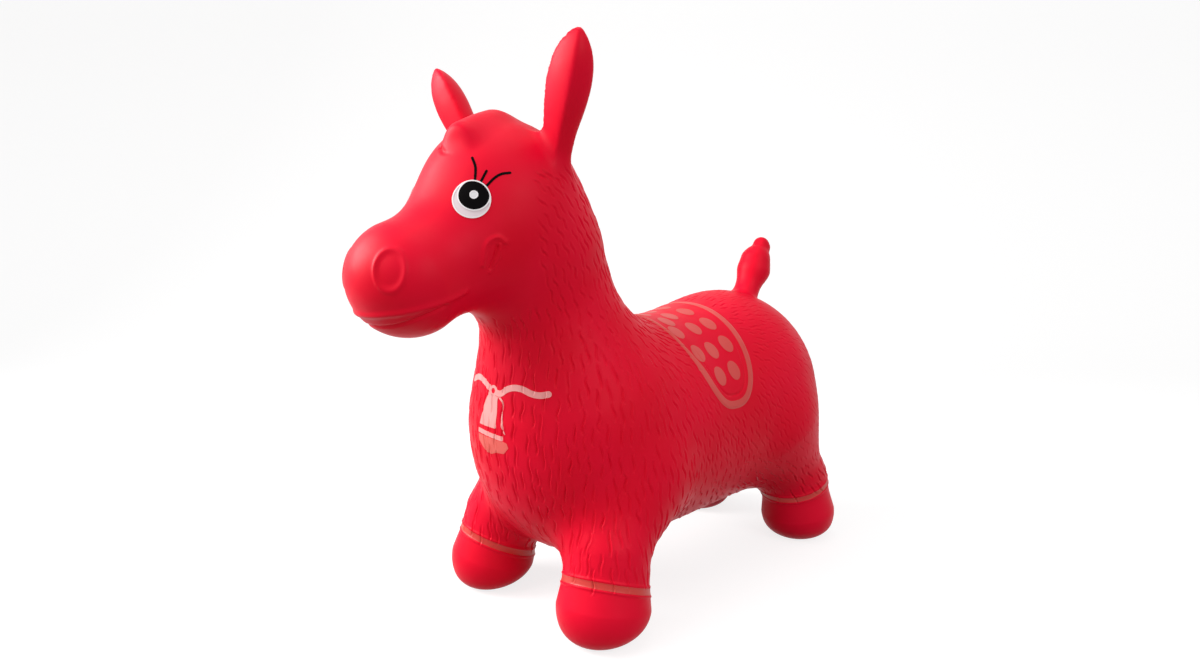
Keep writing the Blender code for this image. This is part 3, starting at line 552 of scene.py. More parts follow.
# The mane, the saddle and its dots
MANE_STEP = 0.0125
MANE_SLANT = 0.6
MANE_HEIGHT = 0.0008
MANE_HALF_WIDTH = 0.026
MANE_BAND = (0.270, 0.290, 0.375, 0.400)
MANE_FRONT = -0.105
NECK_REAR = 0.050

SADDLE_MIDDLE = (0.0655, 0.159)
SADDLE_GIRTH = 0.1015
SADDLE_HALF_SIZE = (0.1370, 0.0468)
SADDLE_POWER = 2.6
SADDLE_BAND = 0.0076
SADDLE_BAND_LESS = 0.0038
SADDLE_BAND_FRONT = (0.015, 0.040)
SADDLE_BAND_LOW = (0.070, 0.100)
SADDLE_PAD = (0.0008, 0.0022)
SADDLE_GROOVE = (0.0010, 0.0011)
SADDLE_GROOVE_INSET = 0.0130
SADDLE_GROOVE_FROM = (0.070, 0.095)
DOT_SIZE = (0.0096, 0.0077)
DOTS = (
    (0.1035, -0.0130), (0.1010, 0.0098), (0.0775, -0.0285), (0.0765, -0.0058), (0.0735, 0.0184),
    (0.0490, -0.0335), (0.0470, -0.0040), (0.0460, 0.0196), (0.0300, -0.0265), (0.0190, -0.0082),
    (0.0185, 0.0176), (0.0030, -0.0310), (-0.0090, -0.0070), (-0.0095, 0.0168),
    (-0.0240, -0.0300), (-0.0370, -0.0050), (-0.0370, 0.0190), (-0.0500, -0.0320), (-0.0650, -0.0060),
    (-0.0645, 0.0190), (-0.0760, -0.0280), (-0.0975, -0.0130), (-0.0955, 0.0098),
)

# The hoof rings: a recessed stripe between two ridges, at heights measured from the ankle's pivot
RING_RIDGE = (0.0009, 0.0010)
RING_INSET = 0.0011
FRONT_RING = (0.0422, 0.0500)
HIND_RING = (0.0280, 0.0355)

# The flat round the valve
VALVE_SEAT = at(0, 0.103, 0.0514)
VALVE_INWARDS = at(0, -0.0584, 0.9983)
VALVE_HOLE_RADIUS = 0.0095
VALVE_FLAT = (0.0135, 0.0190)
VALVE_SINK = 0.0003

# Where the skin bends: the pivot, the moving section's direction, and the bend's start and end
PIVOTS = {joint["name"]: np.array(joint["pos_m"]) for joint in frame["joints"] if "pos_m" in joint}
NECK_BEND = (PIVOTS["neck_flex"], at(0, -0.2554, 0.9668), 0.006, 0.066)
EAR_BEND = (PIVOTS["left_ear_flex"], unit(EAR_TIP - EAR_ROOT), 0.009, 0.029)
TAIL_BEND = (PIVOTS["tail_flex"], at(0, 0.557, 0.830), 0.001, 0.021)
FRONT_BEND = (PIVOTS["left_front_flex"], unit(FRONT_LEG[2] - PIVOTS["left_front_flex"]), 0.027, 0.058)
HIND_BEND = (PIVOTS["left_hind_flex"], unit(HIND_LEG[2] - PIVOTS["left_hind_flex"]), 0.027, 0.058)
LEG_DIVIDE = 0.050
LEG_TOP = 0.110


def leg_parts(points):
    """Which points lie on the front legs, and which on the hind legs."""
    low = points[:, 2] < LEG_TOP
    return low & (points[:, 1] < LEG_DIVIDE), low & (points[:, 1] > LEG_DIVIDE)


def height_over(points, bend):
    """How far the points lie beyond a bend's pivot, along the moving section."""
    return (points - bend[0]) @ bend[1]


def ridge(points, height, half_width, route):
    """A soft ridge along a curve."""
    return height * hill(off_curve(points, route), half_width)


def nostril_relief(sides):
    """A raised ring around a sunken disc, egg-shaped."""
    flat = flat_places(sides, NOSTRIL) / np.array(NOSTRIL_SIZE)
    around = lengths(flat)
    ring = NOSTRIL_RIDGE[0] * hill((around - 1) * NOSTRIL_SIZE[0], NOSTRIL_RIDGE[1])
    return ring - NOSTRIL_DEPTH * (1 - smooth(around, *NOSTRIL_DISC))


def face_relief(points):
    """Nostrils, lips, the fold of the cheek and the crease under the forelock."""
    relief = np.zeros(len(points))
    face = (points[:, 1] < FACE_REAR) & (points[:, 2] > FACE_LOW)
    sides = mirrored(points[face])
    total = nostril_relief(sides) + ridge(sides, *UPPER_LIP)
    total -= ridge(sides, *MOUTH_GROOVE) + ridge(sides, *CHEEK_GROOVE)
    total += ridge(sides, *CHEEK_RIDGE) + ridge(sides, *CHEEK_SWELL)
    relief[face] = total - ridge(points[face], *FORELOCK_GROOVE)
    return relief


def mane_relief(points):
    """Waves of hair across the back of the neck."""
    x, y, z = points.T
    rise = smooth(z, *MANE_BAND[:2]) * (1 - smooth(z, *MANE_BAND[2:]))
    rise *= hill(x, MANE_HALF_WIDTH) * (y > MANE_FRONT) * (y < NECK_REAR)
    wave = (z + MANE_SLANT * np.abs(x)) / MANE_STEP
    return MANE_HEIGHT * rise * np.sin(2 * np.pi * wave)


def saddle_places(points):
    """Places around to the left and along the trunk, from the saddle's middle."""
    around = SADDLE_GIRTH * np.arctan2(points[:, 0], points[:, 2] - SADDLE_MIDDLE[1])
    return around, points[:, 1] - SADDLE_MIDDLE[0]


def saddle_outline(points):
    """Signed distance from the saddle's outline, negative inside it."""
    places = np.abs(np.stack(saddle_places(points)).T)
    reach = ((places / SADDLE_HALF_SIZE) ** SADDLE_POWER).sum(axis=1) ** (1 / SADDLE_POWER)
    steep = (places / SADDLE_HALF_SIZE) ** (SADDLE_POWER - 1) / SADDLE_HALF_SIZE
    slope = lengths(steep) / np.maximum(reach, TINY) ** (SADDLE_POWER - 1)
    return (reach - 1) / np.maximum(slope, TINY)


def saddle_relief(points):
    """A flat raised pad with a groove inside its lower end."""
    inside = -saddle_outline(points)
    around, _ = saddle_places(points)
    pad = SADDLE_PAD[0] * smooth(inside, 0, SADDLE_PAD[1])
    groove = SADDLE_GROOVE[0] * hill(inside - SADDLE_GROOVE_INSET, SADDLE_GROOVE[1])
    return pad - groove * smooth(np.abs(around), *SADDLE_GROOVE_FROM)


def ring_relief(points):
    """The two ridges of each hoof's ring."""
    sides = mirrored(points)
    relief = np.zeros(len(points))
    for here, bend, ring in zip(leg_parts(points), (FRONT_BEND, HIND_BEND), (FRONT_RING, HIND_RING)):
        height = height_over(sides[here], bend)
        relief[here] = sum(RING_RIDGE[0] * hill(height - edge, RING_RIDGE[1]) for edge in ring)
    return relief


def valve_places(points):
    """How deep the points lie behind the valve's seat, and how far from its axis."""
    offset = points - VALVE_SEAT
    depth = offset @ VALVE_INWARDS
    return depth, lengths(offset - depth[:, None] * VALVE_INWARDS)


def valve_relief(points):
    """A flat seat for the valve's flange under the belly."""
    depth, away = valve_places(points)
    near = (1 - smooth(away, *VALVE_FLAT)) * (np.abs(depth) < VALVE_FLAT[1])
    return (depth - VALVE_SINK) * near


# The fur: strokes scattered over the skin, each a thin wavy groove with a raised side
FUR_SEED = 11
FACE_HEIGHTS = (0.24, 0.28, 0.30, 0.32, 0.36, 0.39, 0.41)
FACE_EDGE = (-0.180, -0.166, -0.138, -0.152, -0.162, -0.160, -0.150)
FUR_CANDIDATES = 42000
FUR_STEPS = 26
FUR_HALF_WIDTH = 0.00085
FUR_LIP_SHARE = 0.45
FUR_WAVE = 0.0012
FUR_REACH = 0.0030
FUR_LIP_PLACE = 1.6
FUR_WAVE_SPREAD = (0.3, 1.0)
FUR_DEPTH_SPREAD = (0.75, 1.1)
FUR_FADE = 0.45
FLOW_STATIONS = (-0.12, -0.05, 0.02, 0.10, 0.20)
FLOW_REARWARDS = (0, 0.15, 0.5, 0.8, 1.2)
FLOW_TOP = (0.20, 0.28)
FLOW_TOP_GAIN = 2.5
NECK_STATIONS = (0.26, 0.32, 0.36, 0.42)
NECK_REARWARDS = (0.35, 0.5, 0.9, 1.2)
NECK_RISE = (0.27, 0.30)
NECK_FLOW_REAR = 0.030

# Kinds of fur: length, length's spread, gap sideways, gap along, depth
CHEST_FUR = (0.0185, 0.004, 0.0072, 0.0170, 0.00140)
NECK_FUR = (0.0135, 0.003, 0.0058, 0.0130, 0.00100)
FLANK_FUR = (0.0115, 0.0025, 0.0050, 0.0110, 0.00080)
RUMP_FUR = (0.0100, 0.0025, 0.0048, 0.0110, 0.00042)
LEG_FUR = (0.0185, 0.004, 0.0070, 0.0170, 0.00140)

# Where one kind turns into the next: from front to rear, and from low to high
FLANK_FROM = (-0.045, 0.010)
RUMP_FROM = (0.110, 0.150)
NECK_FROM = (0.235, 0.275)
LEG_FROM = (0.085, 0.115)

# Where the skin is bare
FACE_FROM = 0.240
HEAD_TOP_FROM = 0.405
TAIL_FROM = (0.175, 0.262)
SADDLE_MARGIN = 0.004
RING_MARGIN = 0.008
VALVE_MARGIN = 0.035


def flow_at(points, normals):
    """The direction in which hair lies: down, and rearwards more and more towards the rump."""
    _, y, z = points.T
    rearwards = np.interp(y, FLOW_STATIONS, FLOW_REARWARDS)
    rearwards *= 1 + FLOW_TOP_GAIN * smooth(z, *FLOW_TOP)
    neck = np.interp(z, NECK_STATIONS, NECK_REARWARDS)
    up = smooth(z, *NECK_RISE) * (y < NECK_FLOW_REAR)
    rearwards = rearwards + (neck - rearwards) * up
    flow = np.stack([np.zeros(len(points)), rearwards, -np.ones(len(points))], axis=1)
    flow -= (flow * normals).sum(axis=1)[:, None] * normals
    return unit(flow)


def fur_kinds(points):
    """Length, gaps and depth of the hair at each point; depth 0 where the skin is smooth."""
    _, y, z = points.T
    kind = np.tile(CHEST_FUR, (len(points), 1))
    for fur, share in (
        (FLANK_FUR, smooth(y, *FLANK_FROM)),
        (RUMP_FUR, smooth(y, *RUMP_FROM)),
        (NECK_FUR, smooth(z, *NECK_FROM) * (y < NECK_REAR)),
        (LEG_FUR, 1 - smooth(z, *LEG_FROM)),
    ):
        kind += (np.array(fur) - kind) * share[:, None]
    kind[:, 4] *= fur_cover(points)
    return kind


def fur_cover(points):
    """1 where hair is moulded, 0 on the face, ears, tail, hoofs, soles, saddle and valve seat."""
    sides = mirrored(points)
    _, y, z = sides.T
    front, hind = leg_parts(points)
    bare = (z > FACE_FROM) & (y < np.interp(z, FACE_HEIGHTS, FACE_EDGE))
    bare |= z > HEAD_TOP_FROM
    bare |= (y > TAIL_FROM[0]) & (z > TAIL_FROM[1])
    bare |= saddle_outline(points) < SADDLE_MARGIN
    bare |= front & (height_over(sides, FRONT_BEND) > FRONT_RING[0] - RING_MARGIN)
    bare |= hind & (height_over(sides, HIND_BEND) > HIND_RING[0] - RING_MARGIN)
    bare |= lengths(points - VALVE_SEAT) < VALVE_MARGIN
    return np.where(bare, 0.0, 1.0)


def searchable(points):
    """A tree in which the nearest points are found quickly."""
    tree = KDTree(len(points))
    for i, point in enumerate(points):
        tree.insert(point, i)
    tree.balance()
    return tree


def scattered(points, flows, sides, kinds, rng):
    """Picks points no closer to each other than the fur's gaps."""
    tree = searchable(points)
    alive = kinds[:, 4] > 0
    picked = []
    for i in rng.permutation(len(points)):
        if not alive[i]:
            continue
        picked.append(i)
        near = np.array([index for _, index, _ in tree.find_range(points[i], kinds[i, 3])])
        offset = points[near] - points[i]
        reach = (offset @ flows[i] / kinds[i, 3]) ** 2 + (offset @ sides[i] / kinds[i, 2]) ** 2
        alive[near[reach < 1]] = False
    return np.array(picked)


def fur_strokes(points):
    """Every stroke's points in a search tree, with the stroke's side, run and depth at each."""
    rng = np.random.default_rng(FUR_SEED)
    spots = points[rng.permutation(len(points))[:FUR_CANDIDATES]]
    normals = unit(slope_at(spots))
    flows = flow_at(spots, normals)
    kinds = fur_kinds(spots)
    picked = scattered(spots, flows, np.cross(normals, flows), kinds, rng)
    here = spots[picked]
    kinds = kinds[picked]
    length = kinds[:, 0] + kinds[:, 1] * rng.uniform(-1, 1, len(picked))
    wave = FUR_WAVE * rng.uniform(*FUR_WAVE_SPREAD, len(picked)) * rng.choice((-1, 1), len(picked))
    depth = kinds[:, 4] * rng.uniform(*FUR_DEPTH_SPREAD, len(picked))
    rows = []
    for step in range(FUR_STEPS):
        share = (step + 0.5) / FUR_STEPS
        turn = 2 * math.pi * share
        normals = unit(slope_at(here))
        flow = flow_at(here, normals)
        side = np.cross(normals, flow)
        place = here + side * (wave * math.sin(turn))[:, None]
        run = unit(flow + side * (wave / length * 2 * math.pi * math.cos(turn))[:, None])
        rows.append((place, np.cross(normals, run), run, depth * math.sin(turn / 2) ** FUR_FADE))
        here = settle(here + flow * (length / FUR_STEPS)[:, None])
    places, sides, runs, depths = (np.concatenate(column) for column in zip(*rows))
    return searchable(places), places, sides, runs, depths


def fur_relief(points, strokes):
    """Each stroke's groove and the lip at its side."""
    tree, places, sides, runs, depths = strokes
    nearest = np.array([tree.find(point)[1] for point in points])
    offset = points - places[nearest]
    across = (offset * sides[nearest]).sum(axis=1) / FUR_HALF_WIDTH
    past = (offset * runs[nearest]).sum(axis=1) / FUR_HALF_WIDTH
    close = lengths(offset) < FUR_REACH
    groove = hill(across, 1) - FUR_LIP_SHARE * hill(across - FUR_LIP_PLACE, 1)
    return -groove * hill(past, 1) * depths[nearest] * close


def relief_at(points, strokes):
    """How far the moulded relief stands out of the smooth form."""
    relief = fur_relief(points, strokes) + face_relief(points) + mane_relief(points)
    return relief + saddle_relief(points) + ring_relief(points) + valve_relief(points)


# Prints: signed distances on the smooth form, negative where there is paint
RIBBON = (
    (-0.0391, -0.1450, 0.2204), (-0.0253, -0.1501, 0.2244), (-0.0135, -0.1532, 0.2221),
    (-0.0052, -0.1547, 0.2181), (0.0016, -0.1551, 0.2159), (0.0104, -0.1547, 0.2145),
    (0.0166, -0.1532, 0.2184), (0.0239, -0.1510, 0.2209), (0.0322, -0.1482, 0.2204),
    (0.0400, -0.1451, 0.2173), (0.0469, -0.1414, 0.2162), (0.0529, -0.1370, 0.2174),
)
RIBBON_HALF_WIDTH = 0.0027
KNOT = (0.0012, 0.2160)
KNOT_RADII = (0.0036, 0.0012)
BELL = (
    (-0.0050, 0.2150), (-0.0075, 0.2085), (-0.0106, 0.2000), (-0.0160, 0.1849),
    (0.0075, 0.1841), (0.0085, 0.1980), (0.0078, 0.2085), (0.0085, 0.2150),
)
BELL_GAP = 0.0004
STRAND = (
    (0.0085, -0.1550, 0.2125), (0.0145, -0.1560, 0.2065), (0.0148, -0.1570, 0.1943),
    (0.0152, -0.1570, 0.1869), (0.0186, -0.1560, 0.1805), (0.0168, -0.1560, 0.1764),
)
STRAND_HALF_WIDTH = 0.0010
CROSS_BAND = ((-0.0178, 0.1812), (-0.0182, 0.1770), (0.0160, 0.1742), (0.0168, 0.1782))
FRINGE = (
    (-0.0182, 0.1758), (-0.0176, 0.1700), (-0.0125, 0.1655), (-0.0065, 0.1612), (0.0010, 0.1606),
    (0.0080, 0.1630), (0.0165, 0.1632), (0.0222, 0.1690), (0.0205, 0.1730), (0.0172, 0.1738),
)
PRINT_MARGIN = 0.0012


def capsule(points, route, half_width):
    """Signed distance from a stroke of paint along a curve."""
    return off_curve(points, route) - half_width


def in_box(points, low, high, distance):
    """Works out a print's distance near the print only; far outside elsewhere."""
    near = ((points > low) & (points < high)).all(axis=1)
    result = np.full(len(points), FAR)
    if near.any():
        result[near] = distance(points[near])
    return result


def eye_white(points):
    """The egg-shaped white of the left eye."""
    flat = flat_places(points, EYE)
    return (lengths(flat / EYE_SIZE) - 1) * EYE_SIZE[0]


def pupil(points, radius=PUPIL_RADIUS):
    """The round black of the left eye."""
    return lengths(flat_places(points, EYE) - PUPIL_PLACE) - radius


def glint(points):
    """The light spot in the pupil's middle."""
    return pupil(points, GLINT_RADIUS)


def eye_rim(points):
    """The bright rims of the white, of the pupil and of the glint."""
    outer = np.abs(eye_white(points) + EYE_RIM / 2) - EYE_RIM / 2
    middle = np.maximum(np.abs(pupil(points) - EYE_RIM / 2) - EYE_RIM / 2, eye_white(points))
    return np.minimum(np.minimum(outer, middle), np.abs(glint(points)) - EYE_RIM / 3)


def lashes(points):
    """Three lashes over the left eye."""
    return np.minimum.reduce([capsule(points, route, LASH_HALF_WIDTH) for route in LASHES])


def saddle_border(points):
    """The painted border, narrower along the upper part of its front."""
    outside = saddle_outline(points)
    around, along = saddle_places(points)
    front = smooth(-along, *SADDLE_BAND_FRONT) * (1 - smooth(np.abs(around), *SADDLE_BAND_LOW))
    return np.maximum(outside, SADDLE_BAND_LESS * front - SADDLE_BAND - outside)


def saddle_dots(points):
    """Ovals strewn over the seat and its sides."""
    around, along = saddle_places(points)
    best = np.full(len(points), FAR)
    for row, place in DOTS:
        reach = np.hypot((around - row) / DOT_SIZE[0], (along - place) / DOT_SIZE[1])
        best = np.minimum(best, (reach - 1) * DOT_SIZE[1])
    return best


def chest_ribbon(points):
    """A wavy ribbon with a small ring at its knot."""
    ribbon = capsule(points, RIBBON, RIBBON_HALF_WIDTH)
    away = lengths(points[:, ::2] - KNOT)
    ring = np.abs(away - KNOT_RADII[0]) - KNOT_RADII[1]
    hole = KNOT_RADII[0] - KNOT_RADII[1] - away
    return np.maximum(np.minimum(ribbon, ring), hole)


def chest_bell(points):
    """A tassel's bell, the strand beside it and the band across its foot."""
    flat = points[:, ::2]
    bell = np.minimum(outside_polygon(flat, BELL), outside_polygon(flat, CROSS_BAND))
    bell = np.minimum(bell, capsule(points, STRAND, STRAND_HALF_WIDTH))
    return np.maximum(bell, BELL_GAP - capsule(points, RIBBON, RIBBON_HALF_WIDTH))


def chest_fringe(points):
    """The tassel's fringe of three lobes."""
    return outside_polygon(points[:, ::2], FRINGE)


def hoof_stripe(bend, ring):
    """The stripe between the ridges of the left leg's ring."""
    def distance(points):
        height = height_over(points, bend)
        return np.maximum(ring[0] + RING_INSET - height, height - ring[1] + RING_INSET)
    return distance


# The low and high corners of the boxes round the prints
FACE_BOX = (at(0.005, -0.240, 0.340), at(0.090, -0.165, 0.420))
SADDLE_BOX = (at(-0.15, 0.005, 0.115), at(0.15, 0.125, 0.300))
CHEST_BOX = (at(-0.045, -0.170, 0.155), at(0.062, -0.110, 0.232))
FRONT_BOX = (at(0.015, -0.16, 0.005), at(0.135, 0.00, 0.095))
HIND_BOX = (at(0.015, 0.15, 0.005), at(0.135, 0.29, 0.095))


def loops_of(faces):
    """All faces' corners in one row, and where each face starts."""
    sizes = np.array([len(face) for face in faces])
    corners = np.array([corner for face in faces for corner in face])
    return corners, np.concatenate([[0], np.cumsum(sizes)[:-1]]), sizes


def vertex_normals(points, corners, starts, sizes):
    """Normals averaged over the faces around each point, by their area."""
    after = np.roll(corners, -1)
    after[starts + sizes - 1] = corners[starts]
    twist = np.cross(points[corners], points[after])
    face = np.add.reduceat(twist, starts)
    shared = np.repeat(face, sizes, axis=0)
    total = [np.bincount(corners, shared[:, i], len(points)) for i in range(3)]
    return unit(np.stack(total, axis=1))


def moulded_skin():
    """The whole skin: smooth points, moulded points, normals, faces, corners and finest quads."""
    points, quads = first_net()
    for _ in range(RELAX_ROUNDS):
        points = settle(relaxed(points, quads))
    for _ in range(REFINE_ROUNDS):
        quads, _, points = refined(quads, points)
        points = settle(points, 2)
    strokes = fur_strokes(points)
    relief = relief_at(points, strokes)
    middles = points[quads].mean(axis=1)
    heights = np.concatenate([relief[quads], relief_at(middles, strokes)[:, None]], axis=1)
    chosen = heights.max(axis=1) - heights.min(axis=1) > RELIEF_STEP
    sides = mirrored(points)
    for _, _, _, body, distance, box, _ in PRINTS:
        places = sides if body in PAIRED else points
        chosen |= (in_box(places, *box, distance)[quads] < PRINT_MARGIN).any(axis=1)
    fours, rims, points = refined(quads, points, chosen)
    points = settle(points)
    moulded = points + unit(slope_at(points)) * relief_at(points, strokes)[:, None]
    moulded[:, 2] = np.maximum(moulded[:, 2], FLOOR)
    faces = fours.tolist() + rims
    loops = loops_of(faces)
    return points, moulded, vertex_normals(moulded, *loops), faces, loops, fours


def linked(name, data):
    """A new object in the scene."""
    thing = bpy.data.objects.new(name, data)
    bpy.context.scene.collection.objects.link(thing)
    return thing


def mesh_object(name, points, faces, material):
    """A smooth-shaded mesh object with one material."""
    mesh = bpy.data.meshes.new(name)
    mesh.from_pydata(points, [], faces)
    mesh.polygons.foreach_set("use_smooth", np.ones(len(faces), dtype=bool))
    mesh.materials.append(material)
    return linked(name, mesh)


SIDES = (("left_", 1), ("right_", -1))
MIDDLE = (("", 1),)


def bend_ends(bend, side):
    """A bend's start and end points, on the left (1) or right (-1)."""
    pivot, direction, start, end = bend
    flip = at(side, 1, 1)
    return (pivot + direction * start) * flip, (pivot + direction * end) * flip


def skin_sections(points):
    """Each section of the skin: its node, the bodies it bends between, its bend, side and points."""
    rows = [("head_skin", "trunk", "head", NECK_BEND, 1, points[:, 1] < NECK_REAR)]
    rows.append(("tail", "trunk", "tail", TAIL_BEND, 1, points[:, 1] > LEG_DIVIDE))
    front, hind = leg_parts(points)
    for word, side in SIDES:
        near = (points[:, 0] > 0) == (side > 0)
        rows.append((word + "ear", "head", word + "ear", EAR_BEND, side, near))
        rows.append((word + "front_hoof", "trunk", word + "front_leg", FRONT_BEND, side, near & front))
        rows.append((word + "hind_hoof", "trunk", word + "hind_leg", HIND_BEND, side, near & hind))
    return rows


def cut_out(name, skin, chosen, material):
    """A piece of the skin made of the chosen faces, shaded with the whole skin's normals."""
    _, moulded, normals, faces, _, _ = skin
    kept = [faces[i] for i in np.flatnonzero(chosen)]
    corners, _, _ = loops_of(kept)
    used, local = np.unique(corners, return_inverse=True)
    renumbered = iter(local.tolist())
    rows = [[next(renumbered) for _ in face] for face in kept]
    thing = mesh_object(name, moulded[used], rows, material)
    thing.data.normals_split_custom_set_from_vertices(normals[used])
    return thing


def build_skin(skin, material):
    """All sections of the skin; the trunk is what the others leave."""
    _, moulded, _, faces, (corners, starts, _), _ = skin
    owner = np.zeros(len(faces), dtype=int)
    rows = skin_sections(moulded)
    for number, (_, _, _, bend, side, region) in enumerate(rows, start=1):
        past = (height_over(moulded * at(side, 1, 1), bend) > bend[2]) & region
        owner[np.add.reduceat(past[corners].astype(int), starts) > 0] = number
    for number, (node, parent, child, bend, side, _) in enumerate(rows, start=1):
        section = cut_out("skin_" + node.removesuffix("_skin"), skin, owner == number, material)
        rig.blend(section, parent, child, *bend_ends(bend, side))
        finish_piece(section, "red_skin", node)
    depth, away = valve_places(moulded)
    bore = (away < VALVE_HOLE_RADIUS) & (np.abs(depth) < VALVE_FLAT[1])
    holed = np.add.reduceat(bore[corners].astype(int), starts) > 0
    trunk = cut_out("skin_trunk", skin, (owner == 0) & ~holed, material)
    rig.ride(trunk, "trunk")
    finish_piece(trunk, "red_skin", "trunk_skin")


def finish_piece(thing, slot, node):
    """Names the piece's colour slot and the CAD node whose place it takes, if there is one."""
    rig.slot(thing, slot)
    if node:
        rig.replaces(thing, node)


def clipped(quads, inside):
    """Cuts quads along the line where a distance is zero.

    Gives polygons over new points, and each new point's two ends with the share between them.
    """
    ends = {}
    polygons = []
    for quad, values in zip(quads.tolist(), inside[quads].tolist()):
        polygon = []
        for i in range(4):
            first, second = quad[i - 1], quad[i]
            start, end = values[i - 1], values[i]
            if (start < 0) != (end < 0):
                key = (min(first, second), max(first, second))
                ends.setdefault(key, (first, second, start / (start - end)))
                polygon.append(key)
            if end < 0:
                ends.setdefault(second, (second, second, 0.0))
                polygon.append(second)
        if len(polygon) > 2:
            polygons.append(polygon)
    number = {key: i for i, key in enumerate(ends)}
    return [[number[key] for key in polygon] for polygon in polygons], ends.values()


def film(name, skin, distance, heights, material):
    """A thin closed film of paint cut from the skin's surface where the distance is negative."""
    _, moulded, normals, _, _, fours = skin
    quads = fours[(distance[fours] < 0).any(axis=1)]
    polygons, ends = clipped(quads, distance)
    first, second, share = (np.array(column) for column in zip(*ends))
    share = share[:, None]
    place = moulded[first] * (1 - share) + moulded[second] * share
    facing = unit(normals[first] * (1 - share) + normals[second] * share)
    count = len(place)
    run = {(a, b) for polygon in polygons for a, b in zip(polygon, polygon[1:] + polygon[:1])}
    rim = [(a, b) for a, b in sorted(run) if (b, a) not in run]
    under = [[corner + count for corner in reversed(polygon)] for polygon in polygons]
    walls = [[b, a, a + count, b + count] for a, b in rim]
    points = np.concatenate([place + facing * heights[1], place + facing * heights[0]])
    thing = mesh_object(name, points, polygons + under + walls, material)
    shade = [tuple(facing[corner]) for polygon in polygons for corner in polygon]
    shade += [tuple(-facing[corner - count]) for polygon in under for corner in polygon]
    for a, b in rim:
        outward = unit(np.cross(place[b] - place[a], facing[a]))
        shade += [tuple(outward)] * 4
    thing.data.normals_split_custom_set(shade)
    return thing


# How high over the skin each film's lower and upper face lie
FILM = (0.00004, 0.00022)
FILM_TWO = (0.00026, 0.00042)
FILM_THREE = (0.00046, 0.00060)
FILM_FOUR = (0.00062, 0.00074)
FRONT_STRIPE = hoof_stripe(FRONT_BEND, FRONT_RING)
HIND_STRIPE = hoof_stripe(HIND_BEND, HIND_RING)

# Each print: its name, the node it stands for, slot, body, distance, box and film
PRINTS = (
    ("eye_white", "eye_white", "white_paint", "head", eye_white, FACE_BOX, FILM),
    ("pupil", "pupil", "black_paint", "head", pupil, FACE_BOX, FILM_TWO),
    ("eye_glint", "eye_glint", "white_paint", "head", glint, FACE_BOX, FILM_THREE),
    ("eye_rim", None, "white_paint", "head", eye_rim, FACE_BOX, FILM_FOUR),
    ("lashes", None, "black_paint", "head", lashes, FACE_BOX, FILM),
    ("saddle_border", "saddle_border", "tan_paint", "trunk", saddle_border, SADDLE_BOX, FILM),
    ("saddle_dots", None, "tan_paint", "trunk", saddle_dots, SADDLE_BOX, FILM),
    ("chest_ribbon", "chest_ribbon", "peach_paint", "trunk", chest_ribbon, CHEST_BOX, FILM),
    ("chest_bell", "chest_tassel", "peach_paint", "trunk", chest_bell, CHEST_BOX, FILM),
    ("chest_fringe", None, "peach_paint", "trunk", chest_fringe, CHEST_BOX, FILM),
    ("front_stripe", "front_band", "tan_paint", "front_leg", FRONT_STRIPE, FRONT_BOX, FILM),
    ("hind_stripe", "hind_band", "tan_paint", "hind_leg", HIND_STRIPE, HIND_BOX, FILM),
)
PAIRED = ("head", "front_leg", "hind_leg")
LEG_BENDS = {"front_leg": FRONT_BEND, "hind_leg": HIND_BEND}


def build_prints(skin, paints):
    """Every film of paint, on both sides where the print is paired."""
    for name, node, slot, body, distance, box, heights in PRINTS:
        for word, side in SIDES if body in PAIRED else MIDDLE:
            values = in_box(skin[0] * at(side, 1, 1), *box, distance)
            thing = film(word + name, skin, values, heights, paints[name])
            if body in LEG_BENDS:
                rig.blend(thing, "trunk", word + body, *bend_ends(LEG_BENDS[body], side))
            else:
                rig.ride(thing, body)
            finish_piece(thing, slot, node and word + node)


# The materials: each noise's scale and detail, the grain, the used part of a noise, the gloss's range
CLOUD_NOISE = (14, 4)
GLOSS_NOISE = (60, 3)
GRAIN_NOISE = (1400, 2)
GRAIN_STRENGTH = 0.35
GRAIN_HEIGHT = 0.00004
NOISE_RANGE = (0.3, 0.7)
GLOSS_RANGE = np.array((-0.04, 0.05))


def linear(red, green, blue):
    """A colour from its screen values of 0 to 255."""
    shares = np.array((red, green, blue)) / 255
    bright = ((shares + 0.055) / 1.055) ** 2.4
    return (*np.where(shares <= 0.04045, shares / 12.92, bright), 1.0)


def feed(tree, node, inputs):
    """Sets a node's inputs to values or links them to other nodes' outputs."""
    for name, value in inputs.items():
        if isinstance(value, bpy.types.NodeSocket):
            tree.links.new(value, node.inputs[name])
        else:
            node.inputs[name].default_value = value


def new_node(tree, kind, inputs, **settings):
    """A new node with its settings and inputs."""
    node = tree.nodes.new(kind)
    for name, value in settings.items():
        setattr(node, name, value)
    feed(tree, node, inputs)
    return node


def noise(tree, scale, detail):
    """Noise laid out in the object's own space."""
    place = new_node(tree, "ShaderNodeTexCoord", {}).outputs["Object"]
    inputs = {"Scale": scale, "Detail": detail, "Vector": place}
    return new_node(tree, "ShaderNodeTexNoise", inputs).outputs["Fac"]


def spread(tree, value, low, high):
    """The noise's middle range brought to lie between two values."""
    names = ("Value", "From Min", "From Max", "To Min", "To Max")
    inputs = dict(zip(names, (value, *NOISE_RANGE, low, high)))
    return new_node(tree, "ShaderNodeMapRange", inputs).outputs["Result"]


def mixed(tree, share, first, second):
    """One colour where the share is 0, the other where it is 1."""
    inputs = {"Factor": share, "A": linear(*first), "B": linear(*second)}
    return new_node(tree, "ShaderNodeMix", inputs, data_type="RGBA").outputs["Result"]


